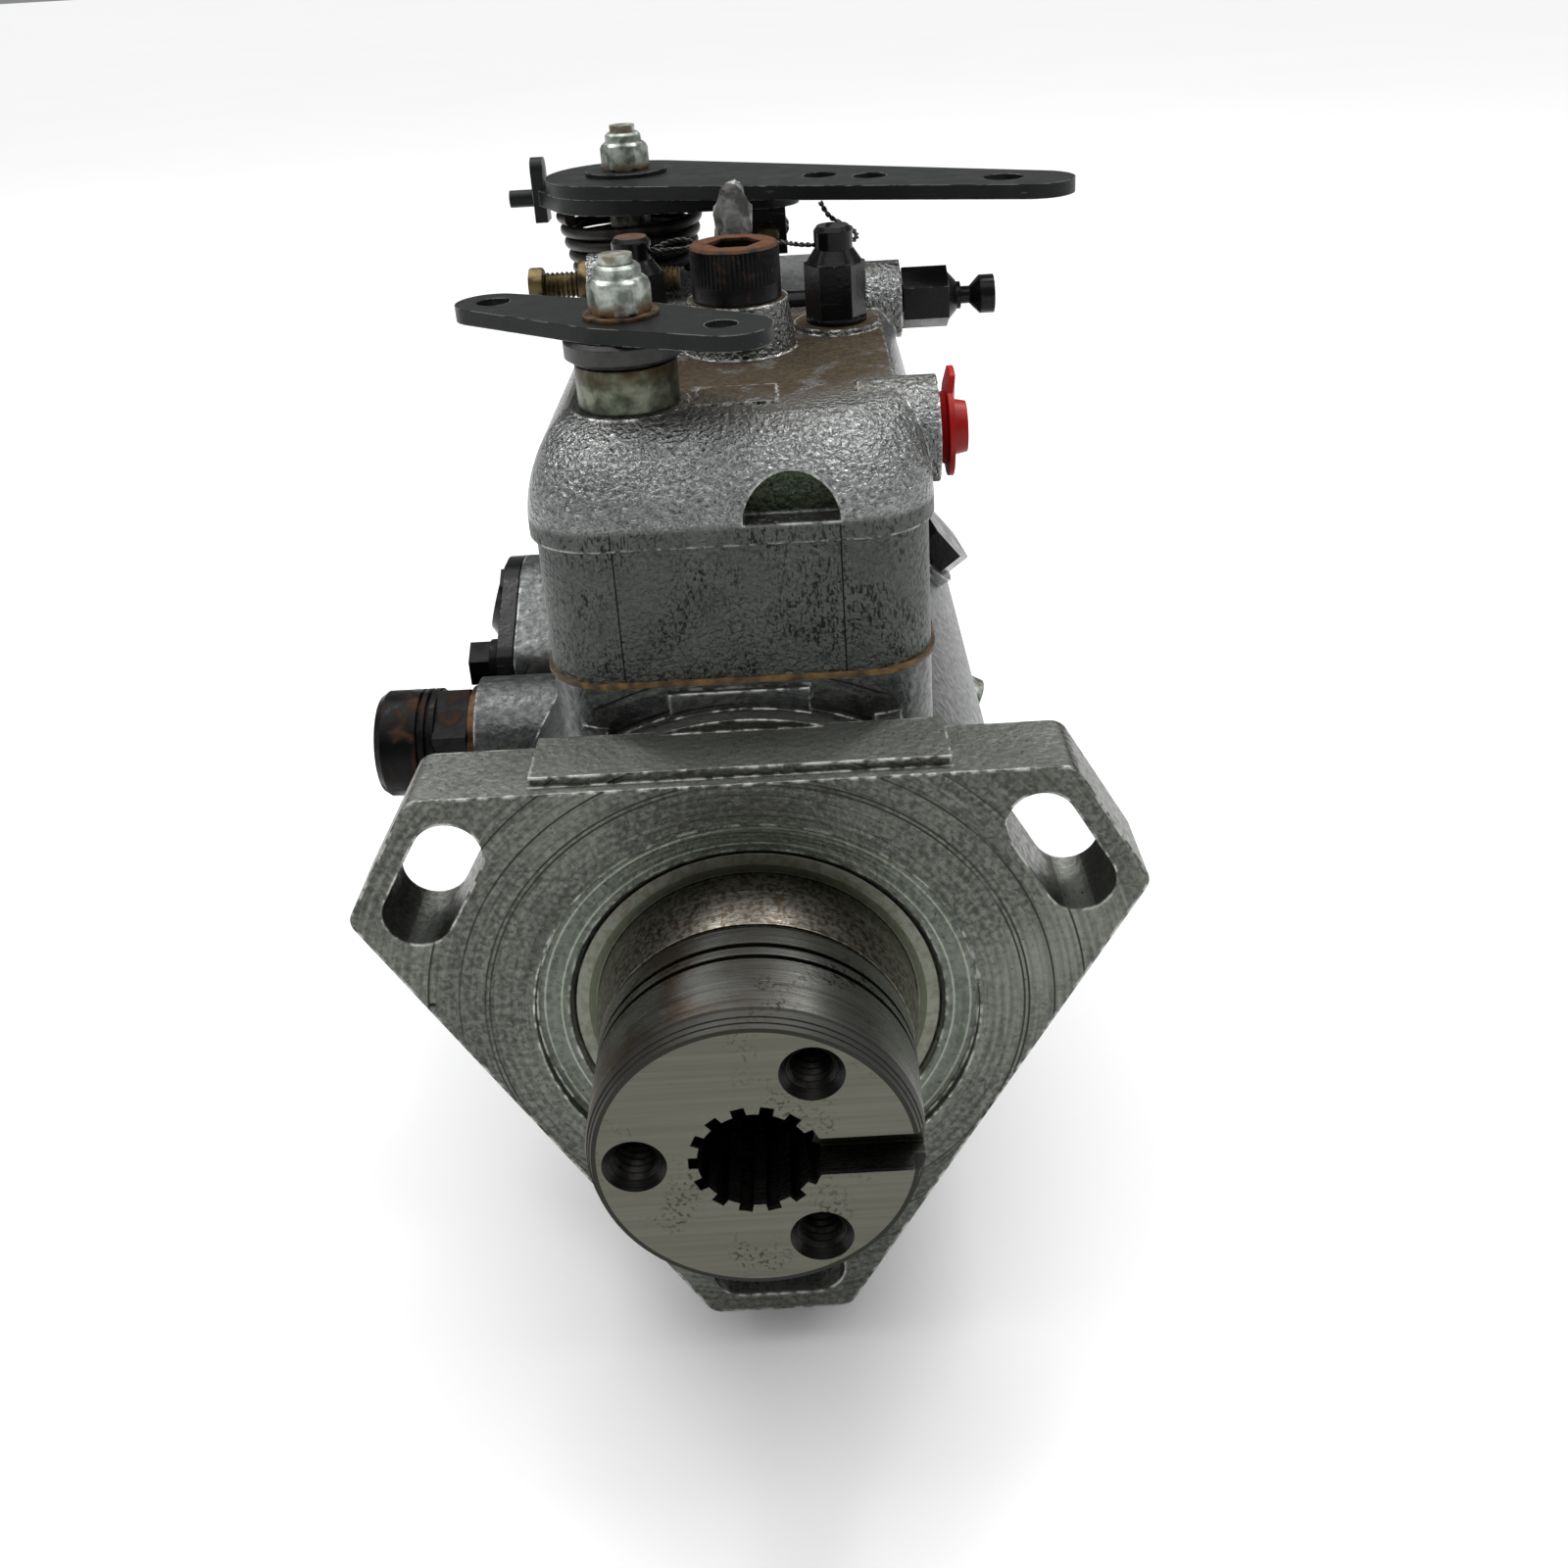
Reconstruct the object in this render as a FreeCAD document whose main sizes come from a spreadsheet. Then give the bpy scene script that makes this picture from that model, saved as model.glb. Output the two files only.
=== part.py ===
import FreeCAD, Part
import os
import Sketcher
from math import acos, cos, degrees, hypot, radians, sin, tan
from FreeCAD import Placement, Rotation, Vector

# A rotary diesel injection pump. Millimetres, X to the right seen from the drive
# end, Y along the drive shaft away from the drive end, Z up. The origin is the
# centre of the flange's mounting face.

SIZES = {
    # mounting flange: a triangle with its three corners cut off
    "flange_inradius": 40.4,
    "flange_corner": 61.1,
    "flange_thickness": 13.5,
    "slot_circle": 52.4,
    "slot_width": 10.2,
    "slot_length": 21.7,
    "recess_radius": 33.5,
    "recess_depth": 1.5,
    # body of the housing
    "barrel_radius": 43.8,
    "barrel_end": 138,
    "chamber_radius": 34,
    "head_bore": 36,
    "seal_bore": "=hub_radius + 4.6",
    "seal_front": 2,
    "seal_back": 11.6,
    "bush_bore": "=hub_radius + 1",
    "neck_top": 47.8,
    "neck_left": -28.8,
    "neck_right": 29.5,
    "neck_front": 17,
    "neck_back": 138,
    "neck_corner": 10.5,
    # governor cover
    "gasket_thickness": 0.8,
    "cover_base": "=neck_top + gasket_thickness",
    "ridge_height": 72.8,
    "ridge_band": 3,
    "ridge_lip": 0.9,
    "deck_height": 86,
    "wall": 4,
    "half_moon_radius": 7,
    "return_port_z": "=deck_height - 7.4",
    "dome_front": 11,
    "dome_left": 6.5,
    "dome_right": 4.5,
    "dome_back": 3,
    # drive hub and the parts it turns
    "hub_radius": 23,
    "hub_reach": 29.4,
    "hub_shoulder": 9.1,
    "hub_collar": "=hub_radius + 1.2",
    "journal_radius": 20,
    "spline_tip": 7.9,
    "spline_root": 9.1,
    "spline_teeth": 14,
    "hub_hole_circle": 16.3,
    "hub_hole_radius": 3.4,
    "hub_slot_width": 6.4,
    "shaft_radius": 6.5,
    "running_gap": 0.05,
    "shank_radius": 10,
    # governor weights
    "weight_pivot_radius": 17,
    "weight_pivot_y": 39,
    "sleeve_face": 39.1,
    "arm_pivot_y": 68,
    "arm_pivot_z": 24,
    # control spindles on the deck
    "shut_off_x": -14,
    "shut_off_y": 35.4,
    "shut_off_lever_top": "=deck_height + 13.3",
    "throttle_x": -20.5,
    "throttle_y": 125,
    "throttle_lever_top": "=deck_height + 20.2",
    "stop_screw_z": "=deck_height + 9.5",
    "idle_screw_y": "=throttle_y - 22",
    "idle_screw_z": "=deck_height + 3.5",
    "max_screw_y": 92,
    "spindle_radius": 4,
    "crank_radius": 5,
    "crank_foot": "=deck_height - 10",
    "bar_foot": "=crank_foot - 6.4",
    "bar_thickness": 3,
    "lever_thickness": 2.4,
    "nut_flats": 8.2,
    # other fittings on the deck
    "cap_nut_y": 74.7,
    "cap_nut_left": -15.7,
    "cap_nut_right": 18.4,
    "vent_x": 2,
    "vent_y": 64,
    "vent_boss_top": "=deck_height + 8.3",
    # cam ring, hydraulic head and end plate
    "cam_front": 86.5,
    "cam_length": 13,
    "head_front": 101,
    "head_back": 158,
    "metering_x": 3,
    "metering_y": 118,
    "outlet_y": 148,
    # advance unit under the cam ring
    "advance_y": 93,
    "advance_z": -56,
    "advance_arm": 52.5,
    "advance_radius": 13,
    "piston_radius": 9.5,
    # fittings on the left side
    "union_y": 60,
    "union_z": 17,
    "inspection_y": 92,
    "inspection_z": 25,
    "inspection_ear": 17.5,
    "locking_y": 112,
    "locating_y": 124,
}

TURNS = {
    "x": Rotation(Vector(0, 1, 0), 90),
    "-x": Rotation(Vector(0, 1, 0), -90),
    "y": Rotation(Vector(1, 0, 0), -90),
    "-y": Rotation(Vector(1, 0, 0), 90),
    "z": Rotation(),
    "-z": Rotation(Vector(1, 0, 0), 180),
}

doc = FreeCAD.newDocument("injection_pump")
sheet = doc.addObject("Spreadsheet::Sheet", "sizes")
for row, (alias, value) in enumerate(SIZES.items(), start=1):
    sheet.set(f"A{row}", alias.replace("_", " "))
    sheet.set(f"B{row}", str(value))
    sheet.setAlias(f"B{row}", alias)
doc.recompute()

nodes = []


def size(alias):
    """The value of one cell of the sheet."""
    return float(sheet.get(alias))


def formula(text):
    """Turn a formula of cell names and numbers, parted by spaces, into an expression."""
    words = str(text).split()
    return " ".join("sizes." + word if word in SIZES else word for word in words)


def tie(item, prop, text):
    item.setExpression(prop, formula(text))


def place(item, at, axis="z"):
    """Point the item's own Z along axis, or along an angle from +X towards +Z."""
    if isinstance(axis, str):
        turn = TURNS[axis]
    else:
        turn = Rotation(Vector(0, 0, 1), Vector(cos(radians(axis)), 0, sin(radians(axis))))
    item.Placement = Placement(Vector(), turn)
    for letter, text in zip("xyz", at):
        tie(item, "Placement.Base." + letter, text)
    return item


def cylinder(name, radius, length, at=(0, 0, 0), axis="z"):
    item = doc.addObject("Part::Cylinder", name)
    tie(item, "Radius", radius)
    tie(item, "Height", length)
    return place(item, at, axis)


def cone(name, radius, end_radius, length, at=(0, 0, 0), axis="z"):
    item = doc.addObject("Part::Cone", name)
    tie(item, "Radius1", radius)
    tie(item, "Radius2", end_radius)
    tie(item, "Height", length)
    return place(item, at, axis)


def sphere(name, radius, at=(0, 0, 0)):
    item = doc.addObject("Part::Sphere", name)
    tie(item, "Radius", radius)
    return place(item, at)


def box(name, low, high):
    """A box between two corners, each given as three formulas."""
    item = doc.addObject("Part::Box", name)
    for prop, start, end in zip(("Length", "Width", "Height"), low, high):
        tie(item, prop, f"( {end} ) - ( {start} )")
    return place(item, low)


def hexagon(name, flats, length, at=(0, 0, 0), axis="z"):
    """A hexagonal bar, measured across its flats."""
    item = doc.addObject("Part::Prism", name)
    item.Polygon = 6
    tie(item, "Circumradius", f"( {flats} ) / sqrt(3)")
    tie(item, "Height", length)
    return place(item, at, axis)


def fuse(name, *items):
    joined = doc.addObject("Part::MultiFuse", name)
    joined.Shapes = list(items)
    joined.Refine = True
    return joined


def cut(name, base, *tools):
    removed = tools[0] if len(tools) == 1 else fuse(name + "_tools", *tools)
    result = doc.addObject("Part::Cut", name)
    result.Base = base
    result.Tool = removed
    result.Refine = True
    return result


def group(name, items):
    """Several separate solids kept as one part."""
    item = doc.addObject("Part::Compound", name)
    item.Links = list(items)
    return item


def ring(name, radius, hole, length, at=(0, 0, 0), axis="z"):
    outer = cylinder(name + "_outer", radius, length, at, axis)
    inner = cylinder(name + "_inner", hole, length, at, axis)
    return cut(name, outer, inner)


def made(label, item):
    """Name a finished part; its label is also the name of its file."""
    item.Label = label
    nodes.append(item)
    return item


def new_body(name):
    return doc.addObject("PartDesign::Body", name)


def sketch_on(body, plane, offset=0):
    """A sketch on one of the body's own planes, moved along the plane's normal."""
    sketch = body.newObject("Sketcher::SketchObject", body.Name + "_sketch")
    support = [f for f in body.Origin.OriginFeatures if f.Role == plane + "_Plane"][0]
    sketch.AttachmentSupport = [(support, "")]
    sketch.MapMode = "FlatFace"
    tie(sketch, "AttachmentOffset.Base.z", offset)
    return sketch


def draw(sketch, points):
    """Close a loop of lines whose corners are held by formulas from the sketch's origin."""
    count = len(points)
    guess = [Vector(*[sketch.evalExpression(formula(text)) for text in point]) for point in points]
    first = sketch.GeometryCount
    for i in range(count):
        sketch.addGeometry(Part.LineSegment(guess[i], guess[(i + 1) % count]))
    for i in range(count):
        after = first + (i + 1) % count
        sketch.addConstraint(Sketcher.Constraint("Coincident", first + i, 2, after, 1))
    for i, (across, along) in enumerate(points):
        for kind, formula_text, value in (("DistanceX", across, guess[i].x),
                                          ("DistanceY", along, guess[i].y)):
            index = sketch.addConstraint(Sketcher.Constraint(kind, -1, 1, first + i, 1, value))
            tie(sketch, f"Constraints[{index}]", formula_text)


def turned(name, points, axis="y", at=(0, 0, 0)):
    """Turn an outline of (radius, distance along the axis) corners into a solid."""
    body = new_body(name)
    plane = "XZ" if axis == "z" else "XY"
    sketch = sketch_on(body, plane)
    if axis == "x":
        points = [(along, radius) for radius, along in points]
    draw(sketch, points)
    revolution = body.newObject("PartDesign::Revolution", name + "_turn")
    revolution.Profile = sketch
    revolution.ReferenceAxis = (sketch, ["H_Axis" if axis == "x" else "V_Axis"])
    revolution.Angle = 360
    return place(body, at)


def padded(name, plane, points, length, offset=0, reverse=False):
    """A body made by padding one outline."""
    body = new_body(name)
    sketch = sketch_on(body, plane, offset)
    draw(sketch, points)
    pad = body.newObject("PartDesign::Pad", name + "_pad")
    pad.Profile = sketch
    pad.Reversed = reverse
    tie(pad, "Length", length)
    return body


def dress(body, kind, radius, keep):
    """Fillet or chamfer every edge of the body's solid that keep() picks."""
    doc.recompute()
    tip = body.Tip
    edges = [f"Edge{i + 1}" for i, edge in enumerate(tip.Shape.Edges) if keep(edge)]
    feature = body.newObject("PartDesign::" + kind, body.Name + "_" + kind.lower())
    feature.Base = (tip, edges)
    tie(feature, "Size" if kind == "Chamfer" else "Radius", radius)
    doc.recompute()
    return feature


def upright(edge):
    """True for a straight edge along Z."""
    start, end = edge.Vertexes[0].Point, edge.Vertexes[-1].Point
    return hypot(start.x - end.x, start.y - end.y) < 1e-6 < abs(start.z - end.z)


def link_face(start, start_radius, end, end_radius):
    """The flat outline of a bar with two round ends of different size."""
    along = end - start
    lean = acos((start_radius - end_radius) / along.Length)
    heading = Vector(1, 0, 0).getAngle(along) * (1 if along.y >= 0 else -1)

    def rim(centre, radius, angle):
        return centre + Vector(cos(angle), sin(angle), 0) * radius

    a, b = (rim(start, start_radius, heading + side * lean) for side in (1, -1))
    c, d = (rim(end, end_radius, heading + side * lean) for side in (-1, 1))
    back = rim(start, start_radius, heading + radians(180))
    front = rim(end, end_radius, heading)
    edges = [Part.Arc(a, back, b).toShape(), Part.LineSegment(b, c).toShape(),
             Part.Arc(c, front, d).toShape(), Part.LineSegment(d, a).toShape()]
    return Part.Face(Part.Wire(edges))


def shaped(name, shape):
    """Keep a shape made in code as a document object."""
    item = doc.addObject("Part::Feature", name)
    item.Shape = shape
    return item


def coils(name, start_radius, end_radius, wire, pitch, turns, at, axis="z"):
    """A spring wound as a helix from its first radius to its last."""
    helix = doc.addObject("Part::Helix", name + "_path")
    helix.Radius = start_radius
    helix.Pitch = pitch
    helix.Height = pitch * turns
    helix.Angle = degrees((end_radius - start_radius) / (pitch * turns))
    section = doc.addObject("Part::Circle", name + "_section")
    section.Radius = wire
    section.Placement = Placement(Vector(start_radius, 0, 0), TURNS["-y"])
    sweep = doc.addObject("Part::Sweep", name)
    sweep.Sections = [section]
    sweep.Spine = (helix, ["Edge1"])
    sweep.Solid = True
    sweep.Frenet = True
    return place(sweep, at, axis)


# Housing: the flange, the barrel behind it and the neck that carries the cover.

def flange_corners():
    """Six corners: each side of the triangle meets two of the corner cuts."""
    side = "flange_inradius"
    reach = "( ( flange_corner - flange_inradius * 0.5 ) / cos(30deg) )"
    corners = []
    for turn in (90, -30, -150):
        for hand in (1, -1):
            across = f"( {reach} * {-hand} )"
            corners.append((f"{across} * sin({turn}deg) + {side} * cos({turn}deg)",
                            f"{side} * sin({turn}deg) - {across} * cos({turn}deg)"))
    return corners


def radial(angle, distance, y="locking_y"):
    """A point at a distance from the drive axis, at an angle from +X towards +Z."""
    return (f"cos({angle}deg) * {distance}", y, f"sin({angle}deg) * {distance}")


def neck_outline(grow):
    """The four corners of the neck, moved outwards."""
    return [(f"neck_left - {grow}", f"neck_front - {grow}"), (f"neck_right + {grow}", f"neck_front - {grow}"),
            (f"neck_right + {grow}", f"neck_back + {grow}"), (f"neck_left - {grow}", f"neck_back + {grow}")]


flange = padded("flange", "XZ", flange_corners(), "flange_thickness", reverse=True)
dress(flange, "Fillet", 3, lambda edge: abs(edge.Vertexes[0].Point.y - edge.Vertexes[-1].Point.y) > 1)

slots = []
for number, angle in enumerate((30, 150, 270)):
    outward = Vector(cos(radians(angle)), 0, sin(radians(angle)))
    around = Vector(-sin(radians(angle)), 0, cos(radians(angle)))
    half = (size("slot_length") - size("slot_width")) / 2
    middle = outward * size("slot_circle")
    face = link_face(Vector(-half, 0, 0), size("slot_width") / 2, Vector(half, 0, 0),
                     size("slot_width") / 2 - 1e-4)
    slot = face.extrude(Vector(0, 0, 40))
    turn = Rotation(around, Vector(0, 1, 0).cross(around), Vector(0, 1, 0), "XYZ")
    slot.Placement = Placement(middle - Vector(0, 10, 0), turn)
    slots.append(shaped(f"slot_{number}", slot))

flange_pad = box("flange_pad", (-30, 2, 36), (30, "flange_thickness", 42))
barrel = cylinder("barrel", "barrel_radius", "barrel_end - flange_thickness + 1",
                  (0, "flange_thickness - 1", 0), "y")
neck = padded("neck", "XY", neck_outline(0), "neck_top - 20", 20)
dress(neck, "Fillet", "neck_corner", upright)
neck_flat = box("neck_flat", (-10.5, "neck_front - 1.2", 36), (10.5, "neck_front + 2", "neck_top - 1"))
# two ribs stiffen the flange against the front of the neck
web_left = box("web_left", (-24, "flange_thickness - 1", 30), (-20, "neck_front + 2", 41))
web_right = box("web_right", (20, "flange_thickness - 1", 30), (24, "neck_front + 2", 41))
# turns round the drive axis at which the two fittings that hold the head stand
LOCATING_TURN = 163
LOCKING_TURN = 38
union_boss = cylinder("union_boss", 11.2, 24, (-25, "union_y", "union_z"), "-x")
locating_boss = cylinder("locating_boss", 9, 16, radial(LOCATING_TURN, 30, "locating_y"), LOCATING_TURN)
locking_boss = cylinder("locking_boss", 8.5, 15.5, radial(LOCKING_TURN, 30), LOCKING_TURN)


def inspection_outline(grow):
    """A round plate with a small ear before and behind it, seen along X."""
    centre, ear = Vector(size("inspection_y"), size("inspection_z"), 0), Vector(size("inspection_ear"), 0, 0)
    faces = [link_face(centre, 13.5 + grow, centre + side * ear, 5 + grow) for side in (1, -1)]
    return faces[0].fuse(faces[1]).removeSplitter()


def inspection_solid(name, grow, start, length):
    solid = inspection_outline(grow).extrude(Vector(0, 0, length))
    item = shaped(name, solid)
    item.Placement = Placement(Vector(start, 0, 0),
                               Rotation(Vector(0, 1, 0), Vector(0, 0, 1), Vector(1, 0, 0), "XYZ"))
    return item


inspection_pad = inspection_solid("inspection_pad", 0, -44.4, 20)
advance_pad = box("advance_pad", (-17, "advance_y - 13", -44.5), (17, "advance_y + 13", -30))
stud_bosses = [cylinder(f"stud_boss_{side}", 4.4, 24.2,
                        (f"cap_nut_{side}", "cap_nut_y", 20)) for side in ("left", "right")]
casting = fuse("casting", flange, flange_pad, barrel, neck, neck_flat, web_left, web_right,
               union_boss, locating_boss, locking_boss, inspection_pad, advance_pad)

bores = [
    cylinder("recess", "recess_radius", "recess_depth + 1", (0, -1, 0), "y"),
    cone("seal_mouth", "seal_bore + 0.9", "seal_bore", 1, (0, "recess_depth", 0), "y"),
    cylinder("seal_seat", "seal_bore", "seal_back + 0.4", (0, 0, 0), "y"),
    cylinder("bush_seat", "bush_bore", 32, (0, 0, 0), "y"),
    cylinder("chamber", "chamber_radius", 55, (0, 31, 0), "y"),
    cylinder("rear_bore", "head_bore", 60, (0, 84, 0), "y"),
    box("control_opening", (-20, 31, 24), (22.4, 130, 50)),
    cylinder("union_hole", 6, 40, (-60, "union_y", "union_z"), "x"),
    cylinder("inspection_hole", 9, 30, (-60, "inspection_y", "inspection_z"), "x"),
    cylinder("inspection_thread_front", 2.6, 24, (-60, "inspection_y - inspection_ear", "inspection_z"), "x"),
    cylinder("inspection_thread_rear", 2.6, 24, (-60, "inspection_y + inspection_ear", "inspection_z"), "x"),
    cylinder("locating_hole", 6, 40, radial(LOCATING_TURN, 30, "locating_y"), LOCATING_TURN),
    cylinder("locking_hole", 5, 40, radial(LOCKING_TURN, 30), LOCKING_TURN),
    box("cam_screw_slot", (-9.5, "advance_y - 4", -50), (9.5, "advance_y + 4", -20)),
]
bored = cut("bored_casting", casting, *bores, *slots)
standing = cut("trimmed_bosses", fuse("stud_bosses", *stud_bosses),
               cylinder("boss_clearance", "chamber_radius", 60, (0, 40, 0), "y"))
housing = fuse("housing_solid", bored, standing)
stud_holes = [cylinder(f"stud_hole_{side}", 2.5, 20,
                       (f"cap_nut_{side}", "cap_nut_y", 30)) for side in ("left", "right")]
made("pump_housing", cut("housing", housing, *stud_holes))

# Governor cover: a die-cast box with a sloping front, open underneath.

def rounded_wire(left, right, front, back, corner, height):
    """A rectangle with round corners, lying flat at a height."""
    centres = [(right - corner, front + corner, -90), (right - corner, back - corner, 0),
               (left + corner, back - corner, 90), (left + corner, front + corner, 180)]
    arcs = []
    for x, y, start in centres:
        circle = Part.Circle(Vector(x, y, height), Vector(0, 0, 1), corner)
        arcs.append(Part.ArcOfCircle(circle, radians(start), radians(start + 90)))
    edges = []
    for arc, following in zip(arcs, arcs[1:] + arcs[:1]):
        edges.append(arc.toShape())
        edges.append(Part.LineSegment(arc.EndPoint, following.StartPoint).toShape())
    return Part.Wire(edges)


def dome_section(number, rise, inset):
    """One outline of the dome, at a share of its rise and of its whole inset."""
    lip = size("ridge_lip")
    wire = rounded_wire(size("neck_left") - lip + inset * size("dome_left"),
                        size("neck_right") + lip - inset * size("dome_right"),
                        size("neck_front") - lip + inset * size("dome_front"),
                        size("neck_back") + lip - inset * size("dome_back"),
                        size("neck_corner") + lip - 2 * inset,
                        size("ridge_height") + rise * (size("deck_height") - size("ridge_height")))
    return shaped(f"dome_section_{number}", wire)


cover_wall = padded("cover_wall", "XY", neck_outline(0), "ridge_height - cover_base", "cover_base")
dress(cover_wall, "Fillet", "neck_corner", upright)
ridge = padded("ridge", "XY", neck_outline("ridge_lip"), "ridge_band", "ridge_height - ridge_band")
dress(ridge, "Fillet", "neck_corner + ridge_lip", upright)
dome = doc.addObject("Part::Loft", "dome")
dome.Sections = [dome_section(0, 0, 0), dome_section(1, 0.4, 0.14), dome_section(2, 0.75, 0.46),
                 dome_section(3, 1, 1)]
dome.Solid = True
cover_block = fuse("cover_block", cover_wall, ridge, dome)
bosses = [
    cone("spindle_seat", 9.8, 8.9, 8.1, ("shut_off_x", "shut_off_y", "deck_height - 8")),
    cylinder("spindle_boss", 7.2, 9, ("shut_off_x", "shut_off_y", "deck_height - 3")),
    cone("vent_boss", 9.6, 8.3, "vent_boss_top - deck_height + 3", ("vent_x", "vent_y", "deck_height - 3")),
    cylinder("cap_boss_left", 7.4, 4, ("cap_nut_left", "cap_nut_y", "deck_height - 3")),
    cylinder("cap_boss_right", 7.4, 4, ("cap_nut_right", "cap_nut_y", "deck_height - 3")),
    cylinder("throttle_boss", 8, 12.4, ("throttle_x", "throttle_y", "deck_height - 3")),
    cylinder("max_screw_boss", 7, 13, (17.5, "max_screw_y", "deck_height"), "x"),
    box("max_screw_rib", (17.5, "max_screw_y - 6", "deck_height - 9"),
        (29, "max_screw_y + 6", "deck_height")),
    cylinder("idle_screw_boss", 5.5, 10, (-27, "idle_screw_y", "idle_screw_z"), "x"),
    box("idle_screw_rib", (-27, "idle_screw_y - 4.5", "deck_height - 9"),
        (-17, "idle_screw_y + 4.5", "idle_screw_z - 1.5")),
    cylinder("return_boss", 8.2, 12, (20, 38, "return_port_z"), "x"),
    box("name_pad", (-4, 31, "deck_height - 2"), (8, 40, "deck_height + 0.4")),
]
half_moon = cylinder("half_moon", "half_moon_radius", 12.5, (9.3, 20.5, "ridge_height"), "-y")
half_moon.Angle = 180
hollow = [
    box("lower_room", ("neck_left + wall", "neck_front + wall + 1", "cover_base - 1"),
        ("neck_right - wall", "neck_back - wall", "ridge_height - wall + 0.2")),
    box("upper_room", ("neck_left + wall + 2", "neck_front + 9", "ridge_height - wall - 0.8"),
        ("neck_right - wall - 1.5", "neck_back - wall - 1", "deck_height - wall")),
    half_moon,
    cylinder("spindle_bore", "spindle_radius + running_gap", 40,
             ("shut_off_x", "shut_off_y", "deck_height - 16")),
    cylinder("throttle_bore", "spindle_radius + running_gap", 45,
             ("throttle_x", "throttle_y", "deck_height - 20.5")),
    cylinder("vent_hole", 4, 30, ("vent_x", "vent_y", "deck_height - 11")),
    cylinder("cap_hole_left", 2.8, 30, ("cap_nut_left", "cap_nut_y", "deck_height - 16")),
    cylinder("cap_hole_right", 2.8, 30, ("cap_nut_right", "cap_nut_y", "deck_height - 16")),
    cylinder("return_hole", 4.6, 30, (22, 38, "return_port_z"), "x"),
    cylinder("max_screw_hole", 2.6, 40, (5, "max_screw_y", "deck_height"), "x"),
    cylinder("idle_screw_hole", 2.6, 30, (-35, "idle_screw_y", "idle_screw_z"), "x"),
]
made("governor_cover", cut("cover_casting", fuse("cover_with_bosses", cover_block, *bosses), *hollow))

gasket = padded("gasket", "XY", neck_outline(0.6), "gasket_thickness", "neck_top")
dress(gasket, "Fillet", "neck_corner + 0.6", upright)
gasket_window = box("gasket_window", (-20, 31, "neck_top - 1"), (22.4, 130, "cover_base + 1"))
gasket_ears = [cylinder(f"gasket_ear_{side}", 5, "gasket_thickness",
                        (f"cap_nut_{side}", "cap_nut_y", "neck_top"))
               for side in ("left", "right")]
gasket_holes = [cylinder(f"gasket_hole_{side}", 3, 4, (f"cap_nut_{side}", "cap_nut_y", "neck_top - 1"))
                for side in ("left", "right")]
made("cover_gasket", cut("gasket_sheet", fuse("gasket_eared", cut("gasket_frame", gasket, gasket_window),
                                              *gasket_ears),
                         *gasket_holes))

# Drive line: hub, shaft, weight carrier, distributor rotor and transfer pump rotor.

hub_outline = [
    (0, "0 - hub_reach"), ("hub_radius - 1", "0 - hub_reach"), ("hub_radius - 0.75", "0.75 - hub_reach"),
    ("hub_radius - 0.6", "0.75 - hub_reach"), ("hub_radius - 0.4", "1.5 - hub_reach"),
    ("hub_radius - 0.25", "1.5 - hub_reach"), ("hub_radius", "2.4 - hub_reach"),
    ("hub_radius", -16.2), ("hub_radius - 0.35", -16.2), ("hub_radius - 0.35", -15.6), ("hub_radius", -15.6),
    ("hub_radius", -13.7), ("hub_radius - 0.35", -13.7), ("hub_radius - 0.35", -13.1), ("hub_radius", -13.1),
    ("hub_radius", "0 - hub_shoulder"), ("hub_radius - 0.4", "0 - hub_shoulder"),
    ("hub_radius - 0.4", "0.5 - hub_shoulder"), ("hub_radius", "0.5 - hub_shoulder"),
    ("hub_collar", -2.4), ("hub_collar", "seal_back + 0.2"),
    ("journal_radius", "seal_back + 0.2"), ("journal_radius", 31), (0, 31),
]
hub_blank = turned("hub_blank", hub_outline)
teeth = []
for number in range(int(size("spline_teeth"))):
    tooth_gap = doc.addObject("Part::Box", f"spline_gap_{number}")
    tie(tooth_gap, "Length", "spline_root")
    tooth_gap.Width = 24
    tooth_gap.Height = 1.9
    turn = Rotation(Vector(0, 1, 0), 360 * number / size("spline_teeth"))
    tooth_gap.Placement = Placement(Vector(0, -30, 0) + turn.multVec(Vector(0, 0, -0.95)), turn)
    teeth.append(tooth_gap)
hub_tools = teeth + [
    cylinder("spline_bore", "spline_tip", 24, (0, -30, 0), "y"),
    cylinder("hub_web_hole", 3.2, 40, (0, -10, 0), "y"),
    cylinder("shaft_seat", "shaft_radius + running_gap", 40, (0, -2, 0), "y"),
    box("hub_slot", (0, "0 - hub_reach - 1", "hub_slot_width / -2"),
        (30, "5.5 - hub_reach", "hub_slot_width / 2")),
]
for number, angle in enumerate((60, 180, 300)):
    around = (f"hub_hole_circle * cos({angle}deg)", -30, f"hub_hole_circle * sin({angle}deg)")
    hub_tools.append(cylinder(f"hub_hole_{number}", "hub_hole_radius", 16, around, "y"))
    hub_tools.append(cone(f"hub_hole_mouth_{number}", "hub_hole_radius + 1.6", "hub_hole_radius", 1.6,
                          around, "y"))
made("drive_hub", cut("hub", hub_blank, *hub_tools))

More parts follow.
